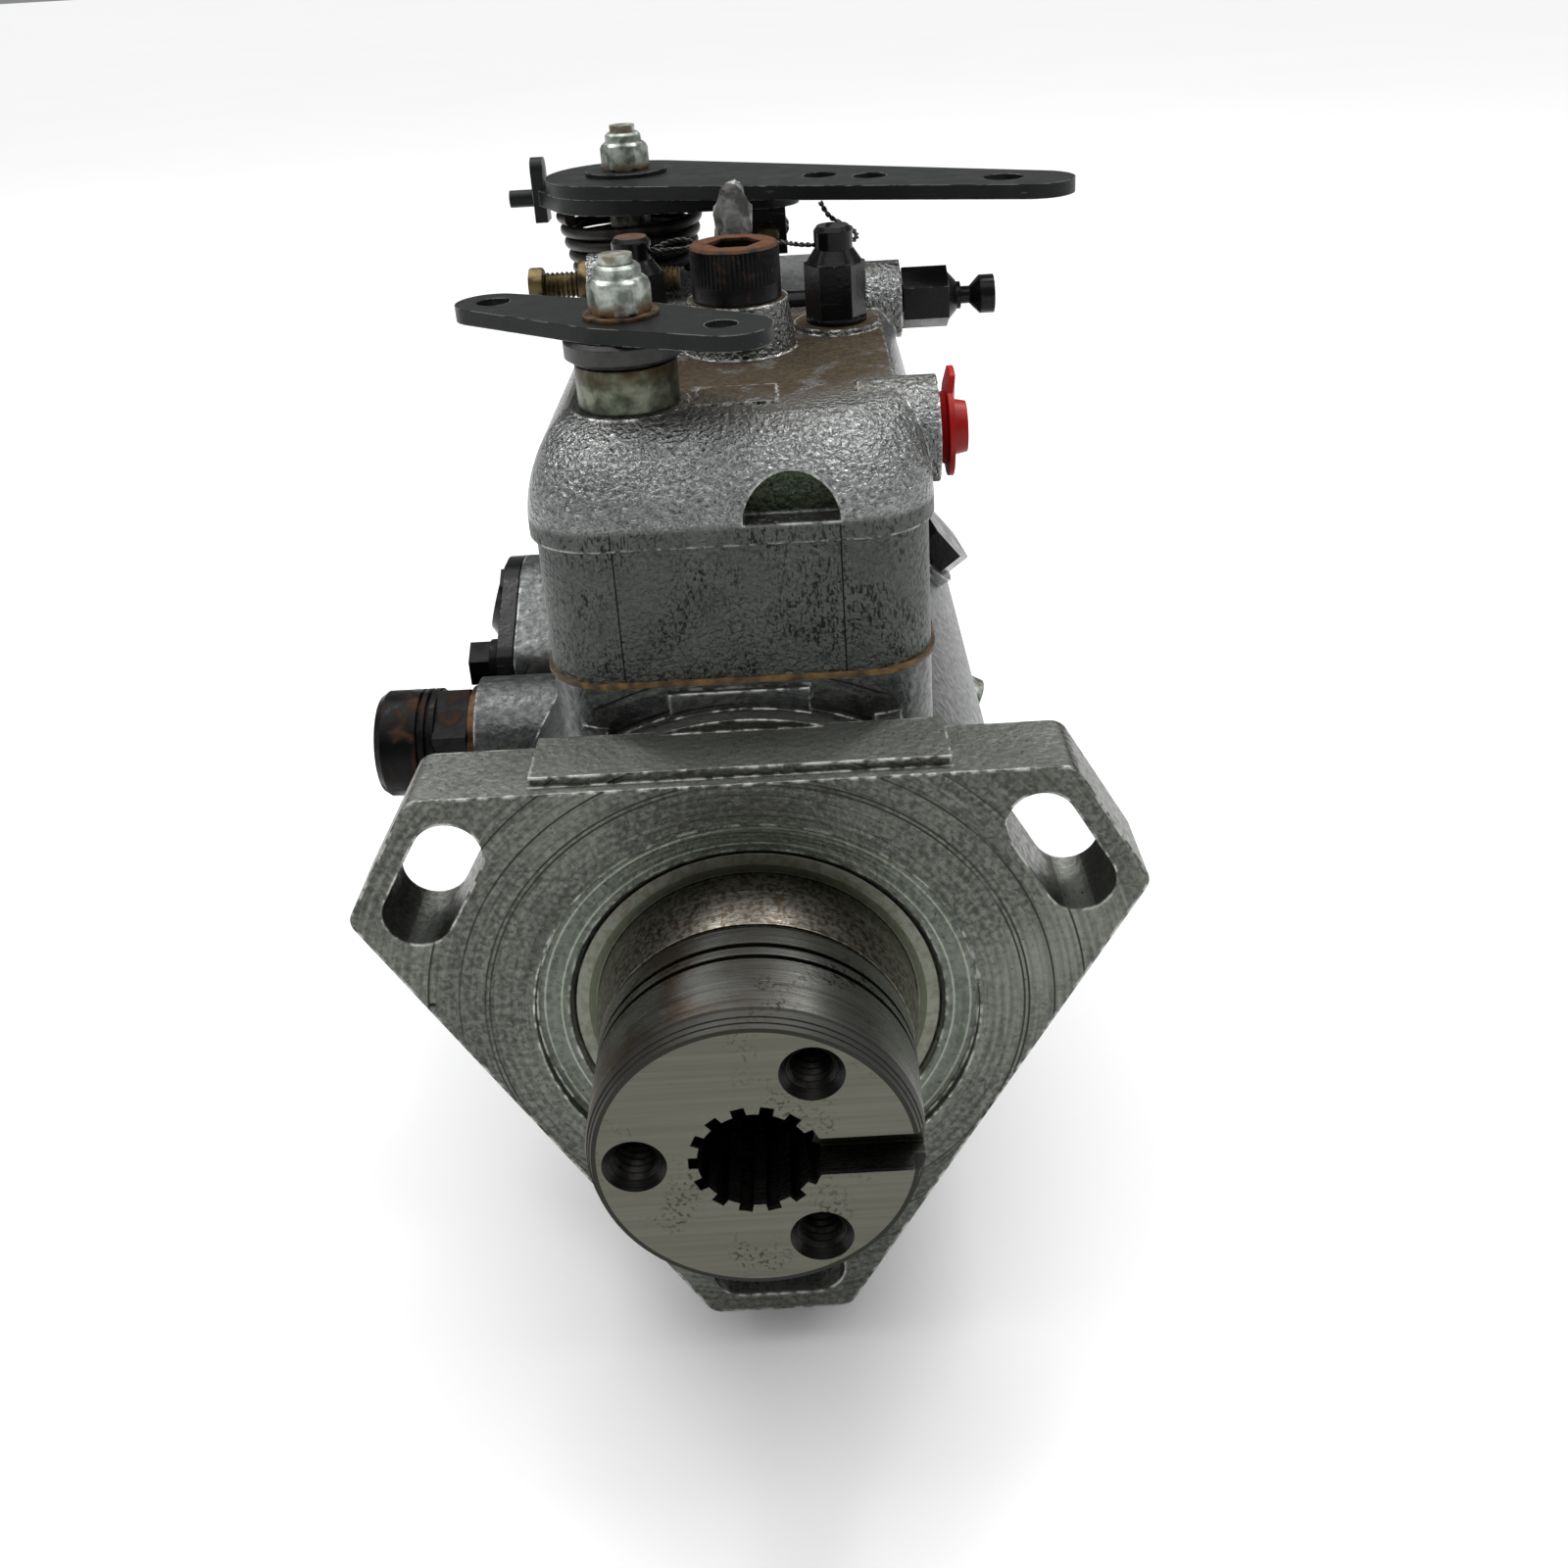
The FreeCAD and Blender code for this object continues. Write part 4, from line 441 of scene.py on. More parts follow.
deck = cover.both(cover.step(cover.facing("Z"), 0.72, 0.95),
                  cover.step(height, DECK - 0.003, DECK - 0.001))
to_vent = {0: cover.place, 1: VENT_MIDDLE}
near_vent = cover.add("VectorMath", to_vent, operation="DISTANCE").outputs["Value"]
soil = cover.both(deck, cover.step(cover.noise(170, 6), 0.24, 0.44),
                  cover.step(near_vent, 0.043, 0.024))
soil_brown = cover.mix(cover.noise(900, 4), (0.030, 0.022, 0.014), (0.115, 0.088, 0.060))
skin = cover.mix(soil, skin, soil_brown)
moon = cover.both(cover.within(cover.axis("X"), HALF_MOON_X, HALF_MOON_HALF_WIDTH, 0.0002),
                  cover.step(height, RIDGE, RIDGE + 0.0006),
                  cover.step(cover.facing("Y"), -0.93, -0.99))
skin = cover.mix(moon, skin, (0.050, 0.068, 0.045))
# Crevices are darkened to brown: partly grime, partly painted shade where light hardly enters.
crevice_grime_and_shade = cover.both(cover.step(cover.crevice(0.006), 0.2, 0.8),
                   cover.step(cover.noise(260, 4), 0.3, 0.6))
skin = cover.mix(cover.math("MULTIPLY", crevice_grime_and_shade, 0.8), skin, (0.045, 0.036, 0.025))
# Pale edges: partly chipped metal, partly painted edge highlights.
chips_and_edge_highlights = cover.both(cover.edge(0.0007, 0.02, 0.16), cover.step(cover.noise(500, 3), 0.4, 0.6))
cover.colour(cover.mix(chips_and_edge_highlights, skin, (0.74, 0.74, 0.72)))
rough = cover.step(on_dome, 0, 1, 0.5, 0.22)
cover.roughness(cover.math("ADD", rough, cover.math("MULTIPLY", soil, 0.4)))
cover.metallic(cover.math("SUBTRACT", 1.0, cover.math("MULTIPLY", crevice_grime_and_shade, 0.5)))
cover.bump(peel, 0.0008, 0.9, soft_edge=0.0008)
dress(cover, "governor_cover")
print("cover finish:", len(cover.nodes), "nodes")

# %% [markdown]
# ## Ground steel of the hub
#
# The hub is turned steel. Its front was faced with long straight strokes, its
# sides turned, and the stepped bevel between them is painted dark: painted shade.
# The left side is tinted brown, and dried oil has left brown specks on the collar
# behind the grooves. Distance from the axis and the place along it pick out each
# zone.

# %% Ground steel of the hub
BEVEL_START = 0.0214
BEVEL_BACK = -0.0260
COLLAR_FRONT = -0.0091
GROOVES = (-0.0159, -0.0134, -0.0089)
GROOVE_HALF_WIDTH = 0.00044
HOLE_CIRCLE = 0.0163
HOLE_MOUTH = 0.0052
HOLE_ANGLES = (60, 180, 300)

hub = Finish("ground_steel", metallic=1.0)
radius = hub.from_drive_axis()
along = hub.axis("Y")
on_face = hub.step(hub.facing("Y"), -0.9, -0.98)
turning = hub.noise(120, 5, stretch=(0.3, 80, 0.3))
strokes = hub.noise(120, 6, stretch=(0.25, 1, 14))
side_grey = hub.mix(hub.step(turning, 0.3, 0.7), (0.300, 0.300, 0.280), (0.350, 0.350, 0.330))
browned = hub.both(hub.step(hub.noise(130, 5), 0.34, 0.62),
                   hub.step(hub.axis("X"), 0.012, -0.014))
side_grey = hub.mix(hub.math("MULTIPLY", browned, 0.8), side_grey, (0.150, 0.095, 0.060))
face_grey = hub.mix(hub.step(strokes, 0.3, 0.7), (0.090, 0.090, 0.072), (0.108, 0.107, 0.087))
steel = hub.mix(on_face, side_grey, face_grey)
# The stepped bevel is painted dark: painted shade.
bevel = hub.both(hub.step(radius, BEVEL_START - 0.0001, BEVEL_START),
                 hub.step(along, BEVEL_BACK, BEVEL_BACK - 0.0004))
steel = hub.mix(hub.math("MULTIPLY", bevel, 0.9), steel, (0.022, 0.022, 0.020))
for groove in GROOVES:
    steel = hub.mix(hub.within(along, groove, GROOVE_HALF_WIDTH, 0.00008), steel, (0.008, 0.008, 0.008))
# The walls of the three holes are painted near black: painted shade inside the holes.
for angle in HOLE_ANGLES:
    hole = (HOLE_CIRCLE * cos(radians(angle)), 0, HOLE_CIRCLE * sin(radians(angle)))
    to_hole = {0: hub.flattened(), 1: hole}
    from_hole = hub.add("VectorMath", to_hole, operation="DISTANCE").outputs["Value"]
    inside = hub.both(hub.step(from_hole, HOLE_MOUTH, HOLE_MOUTH - 0.0002),
                      hub.step(hub.facing("Y"), -0.95, -0.9))
    steel = hub.mix(inside, steel, (0.016, 0.016, 0.015))
collar = hub.step(along, COLLAR_FRONT - 0.0002, COLLAR_FRONT)
speckle = hub.step(hub.noise(1300, 4), 0.42, 0.62)
steel = hub.mix(collar, steel, hub.mix(speckle, (0.40, 0.385, 0.34), (0.19, 0.150, 0.100)))
pits = hub.both(hub.step(hub.noise(1500, 2), 0.54, 0.60),
                hub.step(hub.noise(120, 4), 0.50, 0.68))
steel = hub.mix(hub.math("MULTIPLY", pits, 0.8), steel, (0.032, 0.026, 0.018))
shade = hub.math("MULTIPLY", hub.step(hub.crevice(0.012), 0.30, 0.70), 0.95)
steel = hub.mix(shade, steel, (0.010, 0.010, 0.009))
hub.colour(steel)
rougher = hub.math("MAXIMUM", hub.math("MULTIPLY", on_face, 0.08), hub.math("MULTIPLY", bevel, 0.25))
hub.roughness(hub.math("ADD", hub.step(turning, 0.3, 0.7, 0.24, 0.32), rougher))
hub.bump(hub.mix(on_face, turning, strokes), 0.00003, 0.6, soft_edge=0.0002)
dress(hub, "drive_hub")
print("hub finish:", len(hub.nodes), "nodes")

# %% [markdown]
# ## Steel inside the pump, and the seals' cases
#
# The parts inside the pump stay bright under their oil. The two shaft seals show
# their pressed steel cases, pale and freckled with rust, so they get a finish of
# their own. Of the soft lip inside the case only a thin dark band shows.

# %% Steel inside the pump, and the seals' cases
inner = Finish("oiled_steel", metallic=1.0)
polish = inner.noise(60, 4, stretch=(1, 40, 1))
inner_grey = inner.mix(inner.step(polish, 0.3, 0.7), (0.30, 0.30, 0.29), (0.46, 0.46, 0.44))
stains = inner.step(inner.noise(500, 3), 0.62, 0.72)
inner.colour(inner.mix(stains, inner_grey, (0.15, 0.12, 0.09)))
inner.roughness(inner.step(polish, 0.3, 0.7, 0.2, 0.34))
inner.bump(polish, 0.00005, 0.4, soft_edge=0.0003)
dress(inner, "drive_shaft", "weight_carrier", "flyweight_1", "flyweight_2", "flyweight_3", "flyweight_4",
      "thrust_sleeve", "governor_arm_and_link", "governor_bracket", "metering_valve", "cam_ring_and_pin",
      "distributor_rotor", "plungers_shoes_and_rollers", "hydraulic_head", "transfer_pump_liner",
      "transfer_pump_rotor_and_blades", "regulating_piston", "advance_piston", "shut_off_bar")

LIP_RADIUS = 0.0251

case = Finish("freckled_seal_case", metallic=1.0, roughness=0.42)
freckles = case.step(case.noise(850, 5), 0.42, 0.62)
pale = case.mix(case.noise(200, 3), (0.13, 0.14, 0.112), (0.205, 0.215, 0.178))
case_skin = case.mix(case.math("MULTIPLY", freckles, 0.4), pale, (0.095, 0.068, 0.040))
lip_band = case.within(case.from_drive_axis(), LIP_RADIUS, 0.0005, 0.0001)
case_skin = case.mix(case.math("MULTIPLY", lip_band, 0.8), case_skin, (0.060, 0.070, 0.042))
# Crevices round the case are painted dark grey: painted shade where light hardly enters.
case.colour(case.mix(case.step(case.crevice(0.004), 0.4, 0.9), case_skin, (0.05, 0.05, 0.04)))
case.bump(case.noise(1200, 3), 0.00012, 0.5, soft_edge=0.0003)
dress(case, "oil_seals")
print("inner steel:", len(inner.nodes), "nodes, seal cases:", len(case.nodes), "nodes")

# %% [markdown]
# ## Black oxide
#
# Levers, cap nuts, the fittings that hold the head and the inspection cover are
# blackened steel. The black is thin: it is rubbed bright on edges and scratched on
# the flats. The levers are satin and the cap nuts shine, so the same steps make
# both. The left cap nut has lost its black on top, where it is rusty orange.

# %% Black oxide
def blackened(name, dark, pale, smoothest, roughest, wear):
    """Black steel; a higher wear leaves fewer of its edges rubbed bright."""
    finish = Finish(name, metallic=0.1)
    finish.sheen(0.18)
    base = finish.mix(finish.noise(150, 4), dark, pale)
    scratches = finish.step(finish.noise(700, 3, stretch=(0.12, 1, 1)), 0.68, 0.76)
    base = finish.mix(finish.math("MULTIPLY", scratches, 0.5), base, (0.10, 0.10, 0.10))
    rubbed = finish.both(finish.edge(0.0003, 0.05, 0.25),
                         finish.step(finish.noise(420, 3), wear, wear + 0.12))
    finish.colour(finish.mix(rubbed, base, (0.42, 0.41, 0.39)))
    finish.roughness(finish.step(finish.noise(260, 3), 0.3, 0.7, smoothest, roughest))
    finish.bump(finish.noise(1400, 2), 0.00008, 0.4, soft_edge=0.0003)
    return finish


DEEP_BLACK, SOFT_BLACK = (0.003, 0.003, 0.003), (0.008, 0.008, 0.009)
CAP_NUT_TOP = 0.1030

satin_black = blackened("black_satin", (0.006, 0.007, 0.007), (0.014, 0.015, 0.015), 0.34, 0.48, 0.42)
dress(satin_black, "shut_off_lever", "throttle_lever", "throttle_stop_plate", "hub_screw")
gloss = blackened("black_gloss", DEEP_BLACK, SOFT_BLACK, 0.16, 0.30, 0.60)
dress(gloss, "max_speed_screw_and_nut", "head_locating_fitting", "head_locking_screw", "inspection_cover")

caps = blackened("black_caps", DEEP_BLACK, SOFT_BLACK, 0.14, 0.26, 0.60)
left_cap_top = caps.both(caps.step(caps.axis("X"), 0.001, 0.0),
                         caps.step(caps.axis("Z"), CAP_NUT_TOP, CAP_NUT_TOP + 0.0004),
                         caps.step(caps.noise(420, 4), 0.34, 0.46))
plain_black = caps.shader.inputs["Base Color"].links[0].from_socket
caps.colour(caps.mix(left_cap_top, plain_black, (0.20, 0.085, 0.045)))
dress(caps, "cover_studs_and_cap_nuts")
print("black finishes:", sum("black" in name for name in finishes))

# %% [markdown]
# ## Zinc that has begun to rust
#
# Nuts, unions and the small sleeve were zinc plated. The plating has gone white
# and dull, and rust shows through in patches. On the two lever nuts it also
# climbs from the foot, by the washer, so a height is given where it fades out.
# The other parts are given heights far below the pump, so they have no such foot.

# %% Zinc that has begun to rust
NO_FOOT_RUST = (-1.1, -1.0)


def weathered_zinc(name, rust_from, rust_to, amount):
    """Zinc whose foot rust fades out between two heights in metres, with patches above."""
    finish = Finish(name)
    bloom = finish.step(finish.noise(420, 5), 0.35, 0.65)
    chalk = finish.mix(bloom, (0.15, 0.170, 0.150), (0.50, 0.53, 0.49))
    near = finish.step(finish.axis("Z"), rust_from, rust_to, 1.0, 0.0)
    patches = finish.step(finish.noise(380, 5), 0.62 - 0.30 * amount, 0.74 - 0.28 * amount)
    rusty = finish.math("MAXIMUM", finish.both(near, finish.step(finish.noise(300, 4), 0.34, 0.5)),
                        finish.math("MULTIPLY", patches, amount))
    orange = finish.mix(finish.noise(700, 3), (0.070, 0.035, 0.012), (0.19, 0.105, 0.04))
    skin = finish.mix(rusty, chalk, orange)
    # Crevices are darkened to brown: partly dirt, partly painted shade where light hardly enters.
    crevice_dirt_and_shade = finish.step(finish.crevice(0.003), 0.4, 0.9)
    finish.colour(finish.mix(crevice_dirt_and_shade, skin, (0.045, 0.035, 0.022)))
    finish.roughness(finish.step(rusty, 0, 1, 0.46, 0.8))
    finish.metallic(finish.step(rusty, 0, 1, 1.0, 0.2))
    finish.bump(finish.noise(1100, 3), 0.00022, 0.5, soft_edge=0.0004)
    return finish


STAIN_HEIGHT = 4 * MM
sleeve_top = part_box("shut_off_sleeve")[1][2]
sleeve = weathered_zinc("zinc_sleeve", *NO_FOOT_RUST, 0.25)
stain = sleeve.both(sleeve.step(sleeve.axis("Z"), sleeve_top - STAIN_HEIGHT, sleeve_top),
                    sleeve.step(sleeve.noise(160, 4), 0.3, 0.6))
plain_zinc = sleeve.shader.inputs["Base Color"].links[0].from_socket
greened_zinc = sleeve.tinted(plain_zinc, (0.36, 0.37, 0.30))
sleeve.colour(sleeve.mix(stain, greened_zinc, (0.040, 0.026, 0.012)))
dress(sleeve, "shut_off_sleeve")
dress(weathered_zinc("zinc_spindle", *NO_FOOT_RUST, 0.6), "shut_off_spindle", "throttle_spindle")
zinc = weathered_zinc("tired_zinc", *NO_FOOT_RUST, 0.35)
dress(zinc, "outlet_unions", "inlet_union", "end_plate_bolts", "regulating_plug", "advance_plugs")
print("zinc finishes:", sum("zinc" in name for name in finishes))

# %% [markdown]
# ## The side union
#
# The side union is brown-black with a rough orange bloom: where the bloom is, the
# metal is rougher and no longer shines. The two bolts of the inspection cover
# beside it have gone the same way.

# %% The side union
rust = Finish("brown_rust")
rust.sheen(0.2)
bloom = rust.noise(260, 6, distortion=0.5)
orange_bloom = rust.step(bloom, 0.52, 0.74)
rust.colour(rust.mix(orange_bloom, (0.008, 0.008, 0.008), (0.048, 0.022, 0.010)))
rust.roughness(rust.step(bloom, 0.40, 0.7, 0.30, 0.8))
rust.metallic(rust.step(bloom, 0.52, 0.74, 0.8, 0.2))
rust.bump(bloom, 0.00025, 0.5, soft_edge=0.0003)
dress(rust, "side_union", "inspection_cover_bolts")
print("rust finish:", len(rust.nodes), "nodes")

# %% [markdown]
# ## Small finishes
#
# The rest are quick: yellow zinc on two adjusting screws, red plastic, oily
# gasket board, rubber, spring wire, copper, bronze and turned aluminium. Each still
# gets its own grain, because a flat colour gives a small part away at once.

# %% Small finishes
def simple(name, metallic, roughness, dark, pale, grain, relief, *nodes):
    """Two tones mixed by a noise of the given grain, with a fine relief."""
    finish = Finish(name, metallic, roughness)
    tones = finish.noise(grain, 5, distortion=0.3)
    finish.colour(finish.mix(finish.step(tones, 0.36, 0.64), dark, pale))
    finish.bump(finish.noise(grain * 2.6, 3), relief, 0.5, soft_edge=0.0003)
    dress(finish, *nodes)
    return finish


yellow_zinc = simple("yellow_zinc", 0.9, 0.45, (0.035, 0.025, 0.012), (0.135, 0.100, 0.046), 420, 0.0002,
                     "throttle_stop_screw")
red_plastic = simple("red_plastic", 0.0, 0.42, (0.25, 0.002, 0.002), (0.36, 0.004, 0.003), 140, 0.0001)
red_plastic.sheen(0.25)
simple("gasket_board", 0.0, 0.65, (0.050, 0.029, 0.008), (0.180, 0.104, 0.032), 420, 0.0002,
       "cover_gasket")
simple("black_rubber", 0.0, 0.42, (0.006, 0.006, 0.006), (0.020, 0.018, 0.016), 500, 0.0001,
       "shut_off_dust_cap")
# The spring wire is near black: partly dark steel, partly painted shade round the throttle spring.
spring_wire = simple("spring_wire", 0.6, 0.42, (0.006, 0.006, 0.006), (0.026, 0.022, 0.017), 350, 0.0001,
                     "throttle_spring", "governor_spring", "regulating_spring", "advance_spring")
simple("dull_copper", 0.9, 0.45, (0.040, 0.021, 0.011), (0.095, 0.048, 0.025), 400, 0.0001,
       "union_washer")
simple("oiled_bronze", 1.0, 0.35, (0.38, 0.25, 0.10), (0.50, 0.35, 0.16), 300, 0.0001, "hub_bush")
simple("turned_aluminium", 1.0, 0.36, (0.20, 0.21, 0.20), (0.38, 0.39, 0.38), 220, 0.0001, "end_plate")
print("finishes:", len(finishes))

# %% [markdown]
# ## Making pieces with a mesh of their own
#
# A few small parts carry relief that the solids leave out: a knurl, a thread, a
# twist of wire, crumpled lead. Each is built as a bmesh, written straight to its
# place, and hung on the body that carries it. One helper does that last step for
# all of them, and smooths the shading only between faces that nearly agree.

# %% Making pieces with a mesh of their own
MERGE_DISTANCE = 0.00001
FINE_MERGE_DISTANCE = 0.000001


def piece(name, shape, finish, body, stands_for=(), smooth_below=35):
    """Turn a bmesh into a piece that rides a body, and says how sound its mesh is."""
    bmesh.ops.recalc_face_normals(shape, faces=shape.faces)
    open_edges = sum(not edge.is_manifold for edge in shape.edges)
    mesh = bpy.data.meshes.new(name)
    shape.to_mesh(mesh)
    shape.free()
    mesh.materials.append(finish.material)
    mesh.shade_smooth()
    mesh.set_sharp_from_angle(angle=radians(smooth_below))
    made = bpy.data.objects.new(name, mesh)
    bpy.context.collection.objects.link(made)
    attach(made, body)
    if stands_for:
        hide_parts(*stands_for)
    print(name, len(mesh.polygons), "faces,", open_edges, "open edges")
    return made


# %% [markdown]
# ## The vent screw
#
# The vent screw is a knurled cap screw. Its knurl is a ring of fine upright
# teeth, which a bump could fake, but the teeth show against the light at the
# sides, so they are part of the mesh. A disc with two points for each tooth is
# pulled up from level to level, and at each level a small rule says how far out
# its points stand: the same everywhere for a round, in and out for the knurl, and
# by the turn for a hexagon. The last two levels step inwards and then down: that
# is the socket.

# %% The knurled head
TEETH = 60
VENT_FOOT = Vector((2, 64, 94.4)) * MM
VENT_RADIUS = 7.3
VENT_HEIGHT = 8.9
SHANK_RADIUS = 3.9
SHANK_DEPTH = 17
KNURL_DEPTH = 0.26
SOCKET_FLATS = 7.7
SOCKET_DEPTH = 4.0


def round_ring(radius):
    return lambda turn: radius


def hexagon_ring(flats, limit=100.0):
    """A hexagon by its width over the flats; the limit rounds its corners off."""
    return lambda turn: min(flats / 2 / cos(turn % (pi / 3) - pi / 6), limit)


def knurled_ring(radius, depth):
    return lambda turn: radius - depth * (round(turn / (pi / TEETH)) % 2)


def grow(segments, levels, foot):
    """Pull a disc up through levels of (height, ring), both in mm."""
    shape = bmesh.new()
    bmesh.ops.create_circle(shape, cap_ends=True, radius=1, segments=segments)
    face = shape.faces[:][0]
    for number, (height, ring) in enumerate(levels):
        if number:
            lifted = bmesh.ops.extrude_face_region(shape, geom=[face])
            if number > 1:
                shape.faces.remove(face)
            face = [item for item in lifted["geom"] if isinstance(item, bmesh.types.BMFace)][0]
        for vert in face.verts:
            flat_place = vert.co.to_2d().normalized()
            turn = flat_place.angle_signed(Vector((1, 0))) % (2 * pi)
            vert.co = (*(flat_place * ring(turn) * MM), height * MM)
    bmesh.ops.translate(shape, verts=shape.verts, vec=foot)
    return shape


shank, head = round_ring(SHANK_RADIUS), round_ring(VENT_RADIUS)
knurl = knurled_ring(VENT_RADIUS, KNURL_DEPTH)
socket = hexagon_ring(SOCKET_FLATS)
vent = grow(2 * TEETH, [(-SHANK_DEPTH, shank), (0, shank), (0, head), (2.6, head), (2.9, knurl), (8.2, knurl),
                        (8.4, head), (VENT_HEIGHT, round_ring(VENT_RADIUS - 0.5)), (VENT_HEIGHT, socket),
                        (VENT_HEIGHT - SOCKET_DEPTH, socket)], VENT_FOOT)
print("teeth:", TEETH)

# %% Rust on its top
VENT_TOP = VENT_FOOT.z + VENT_HEIGHT * MM

oxide = Finish("rust_capped_black")
oxide.sheen(0.12)
ragged = oxide.math("MULTIPLY", oxide.noise(500, 3), 0.0016)
rust_line = oxide.step(oxide.math("ADD", oxide.axis("Z"), ragged), VENT_TOP + 0.0001, VENT_TOP + 0.0009)
freckles = oxide.step(oxide.noise(520, 5), 0.58, 0.68)
rusty = oxide.math("MAXIMUM", rust_line, oxide.math("MULTIPLY", freckles, 0.25))
orange = oxide.mix(oxide.noise(600, 4), (0.055, 0.022, 0.010), (0.150, 0.068, 0.036))
# Crevices of the knurl and the socket are painted near black: painted shade.
painted_crevice_shade = oxide.step(oxide.crevice(0.005), 0.35, 0.8)
oxide.colour(oxide.mix(painted_crevice_shade, oxide.mix(rusty, (0.006, 0.006, 0.006), orange), (0.003, 0.003, 0.003)))
oxide.roughness(oxide.step(rusty, 0, 1, 0.30, 0.85))
oxide.metallic(oxide.step(rusty, 0, 1, 0.1, 0.0))
oxide.bump(oxide.noise(900, 4), 0.00025, 0.5)
piece("vent_screw_knurled", vent, oxide, "base", ("vent_screw",))

# %% [markdown]
# ## Self-locking nuts
#
# The two lever nuts have a hexagon with rounded corners, a thinner collar that
# grips the thread, and a washer below. The same growing of a disc makes them: the
# corners are rounded off by a limit that shrinks towards each end. The front
# washer is small and rusty, the rear one wide and black.

# %% Self-locking nuts
NUT_FLATS = 8.2
NUT_SEGMENTS = 48
NUT_BORE = 2.5
WASHER_BORE = 2.55
NUT_GAP = 0.03
NUT_HEXAGON = [(height, hexagon_ring(NUT_FLATS, limit))
               for height, limit in ((0, 4.3), (0.4, 4.7), (4.0, 4.7), (4.6, 4.4))]
NUT_COLLAR = [(height, round_ring(radius))
              for height, radius in ((5.0, 3.95), (5.2, 3.55), (6.5, 3.45), (7.0, 2.95))]
NUT_HOLE = [(7.0, round_ring(NUT_BORE)), (0.2, round_ring(NUT_BORE))]

rusty_washer = simple("rusty_washer", 0.3, 0.75, (0.030, 0.016, 0.008), (0.130, 0.070, 0.030), 500, 0.0002)
for node, body, washer_radius, washer_height, washer_finish in (
        ("shut_off_nut_and_washer", "shut_off", 5.6, 0.5, rusty_washer),
        ("throttle_nut_and_washer", "throttle", 8.0, 0.8, satin_black)):
    low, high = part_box(node)
    spot = Vector(((low[0] + high[0]) / 2, (low[1] + high[1]) / 2, low[2]))
    rim, hole = round_ring(washer_radius), round_ring(WASHER_BORE)
    washer_levels = [(0, hole), (0, rim), (washer_height, rim), (washer_height, hole), (0.05, hole)]
    washer = grow(NUT_SEGMENTS, washer_levels, spot)
    nut_foot = spot + Vector((0, 0, (washer_height + NUT_GAP) * MM))
    nut = grow(NUT_SEGMENTS, NUT_HEXAGON + NUT_COLLAR + NUT_HOLE, nut_foot)
    nut_zinc = weathered_zinc("zinc_of_" + body + "_nut", spot.z + 1.0 * MM, spot.z + 2.8 * MM, 0.25)
    piece(body + "_nut", nut, nut_zinc, body, (node,), smooth_below=20)
    piece(body + "_washer", washer, washer_finish, body, (node,))

# %% [markdown]
# ## The idle screw
#
# The idle screw is a long yellow screw with a lock nut. Its thread is a stack of
# ridges, two levels of the same growing for each turn, made by a loop. It is grown
# upright and then laid over onto its side.

# %% The idle screw
IDLE_HEAD = Vector((-38.2, 103, 89.5)) * MM
IDLE_SEGMENTS = 30
IDLE_PITCH = 0.9
IDLE_TURNS = 28
IDLE_CREST, IDLE_ROOT = 2.5, 2.1
HEAD_FLATS = 6.4
HEAD_HEIGHT = 2.6
IDLE_THREAD_START = 2.9
LOCK_FLATS = 8

head, head_end = hexagon_ring(HEAD_FLATS), hexagon_ring(HEAD_FLATS, 3.3)
screw_levels = [(0, head_end), (0.3, head), (2.3, head), (HEAD_HEIGHT, head_end),
                (HEAD_HEIGHT, round_ring(2.0))]
for turn in range(IDLE_TURNS):
    screw_levels.append((IDLE_THREAD_START + (turn + 0.5) * IDLE_PITCH, round_ring(IDLE_CREST)))
    screw_levels.append((IDLE_THREAD_START + (turn + 1.0) * IDLE_PITCH, round_ring(IDLE_ROOT)))
idle = grow(IDLE_SEGMENTS, screw_levels, Vector((0, 0, 0)))
nut_side, nut_end = hexagon_ring(LOCK_FLATS), hexagon_ring(LOCK_FLATS, 4.2)
lock_levels = [(9.4, nut_end), (9.8, nut_side), (12.0, nut_side), (12.4, nut_end)]
lock_nut = grow(IDLE_SEGMENTS, lock_levels, Vector((0, 0, 0)))
lock_mesh = bpy.data.meshes.new("lock_nut")
lock_nut.to_mesh(lock_mesh)
lock_nut.free()
idle.from_mesh(lock_mesh)
bpy.data.meshes.remove(lock_mesh)
lay_over = Matrix.Translation(IDLE_HEAD) @ Matrix.Rotation(pi / 2, 4, "Y")
bmesh.ops.transform(idle, matrix=lay_over, verts=idle.verts)
piece("idle_screw", idle, yellow_zinc, "base", ("idle_speed_screw_and_nut",))

# %% [markdown]
# ## Threads in the hub
#
# Three threaded holes show at the front of the hub. A real thread is a helix, but
# inside a dark hole nobody can tell a helix from a stack of rings, and rings are
# one spin of a zigzag. The zigzag stays just inside the drilled hole, and its
# outer wall lies buried in the hub's metal.

# %% Threads in the hub
THREAD_PITCH = 1.25 * MM
THREAD_ROOT = 3.39 * MM
THREAD_CREST = 2.8 * MM
THREAD_BURIED = 3.6 * MM
THREAD_TURNS = 11
THREAD_FRONT = -28.3 * MM

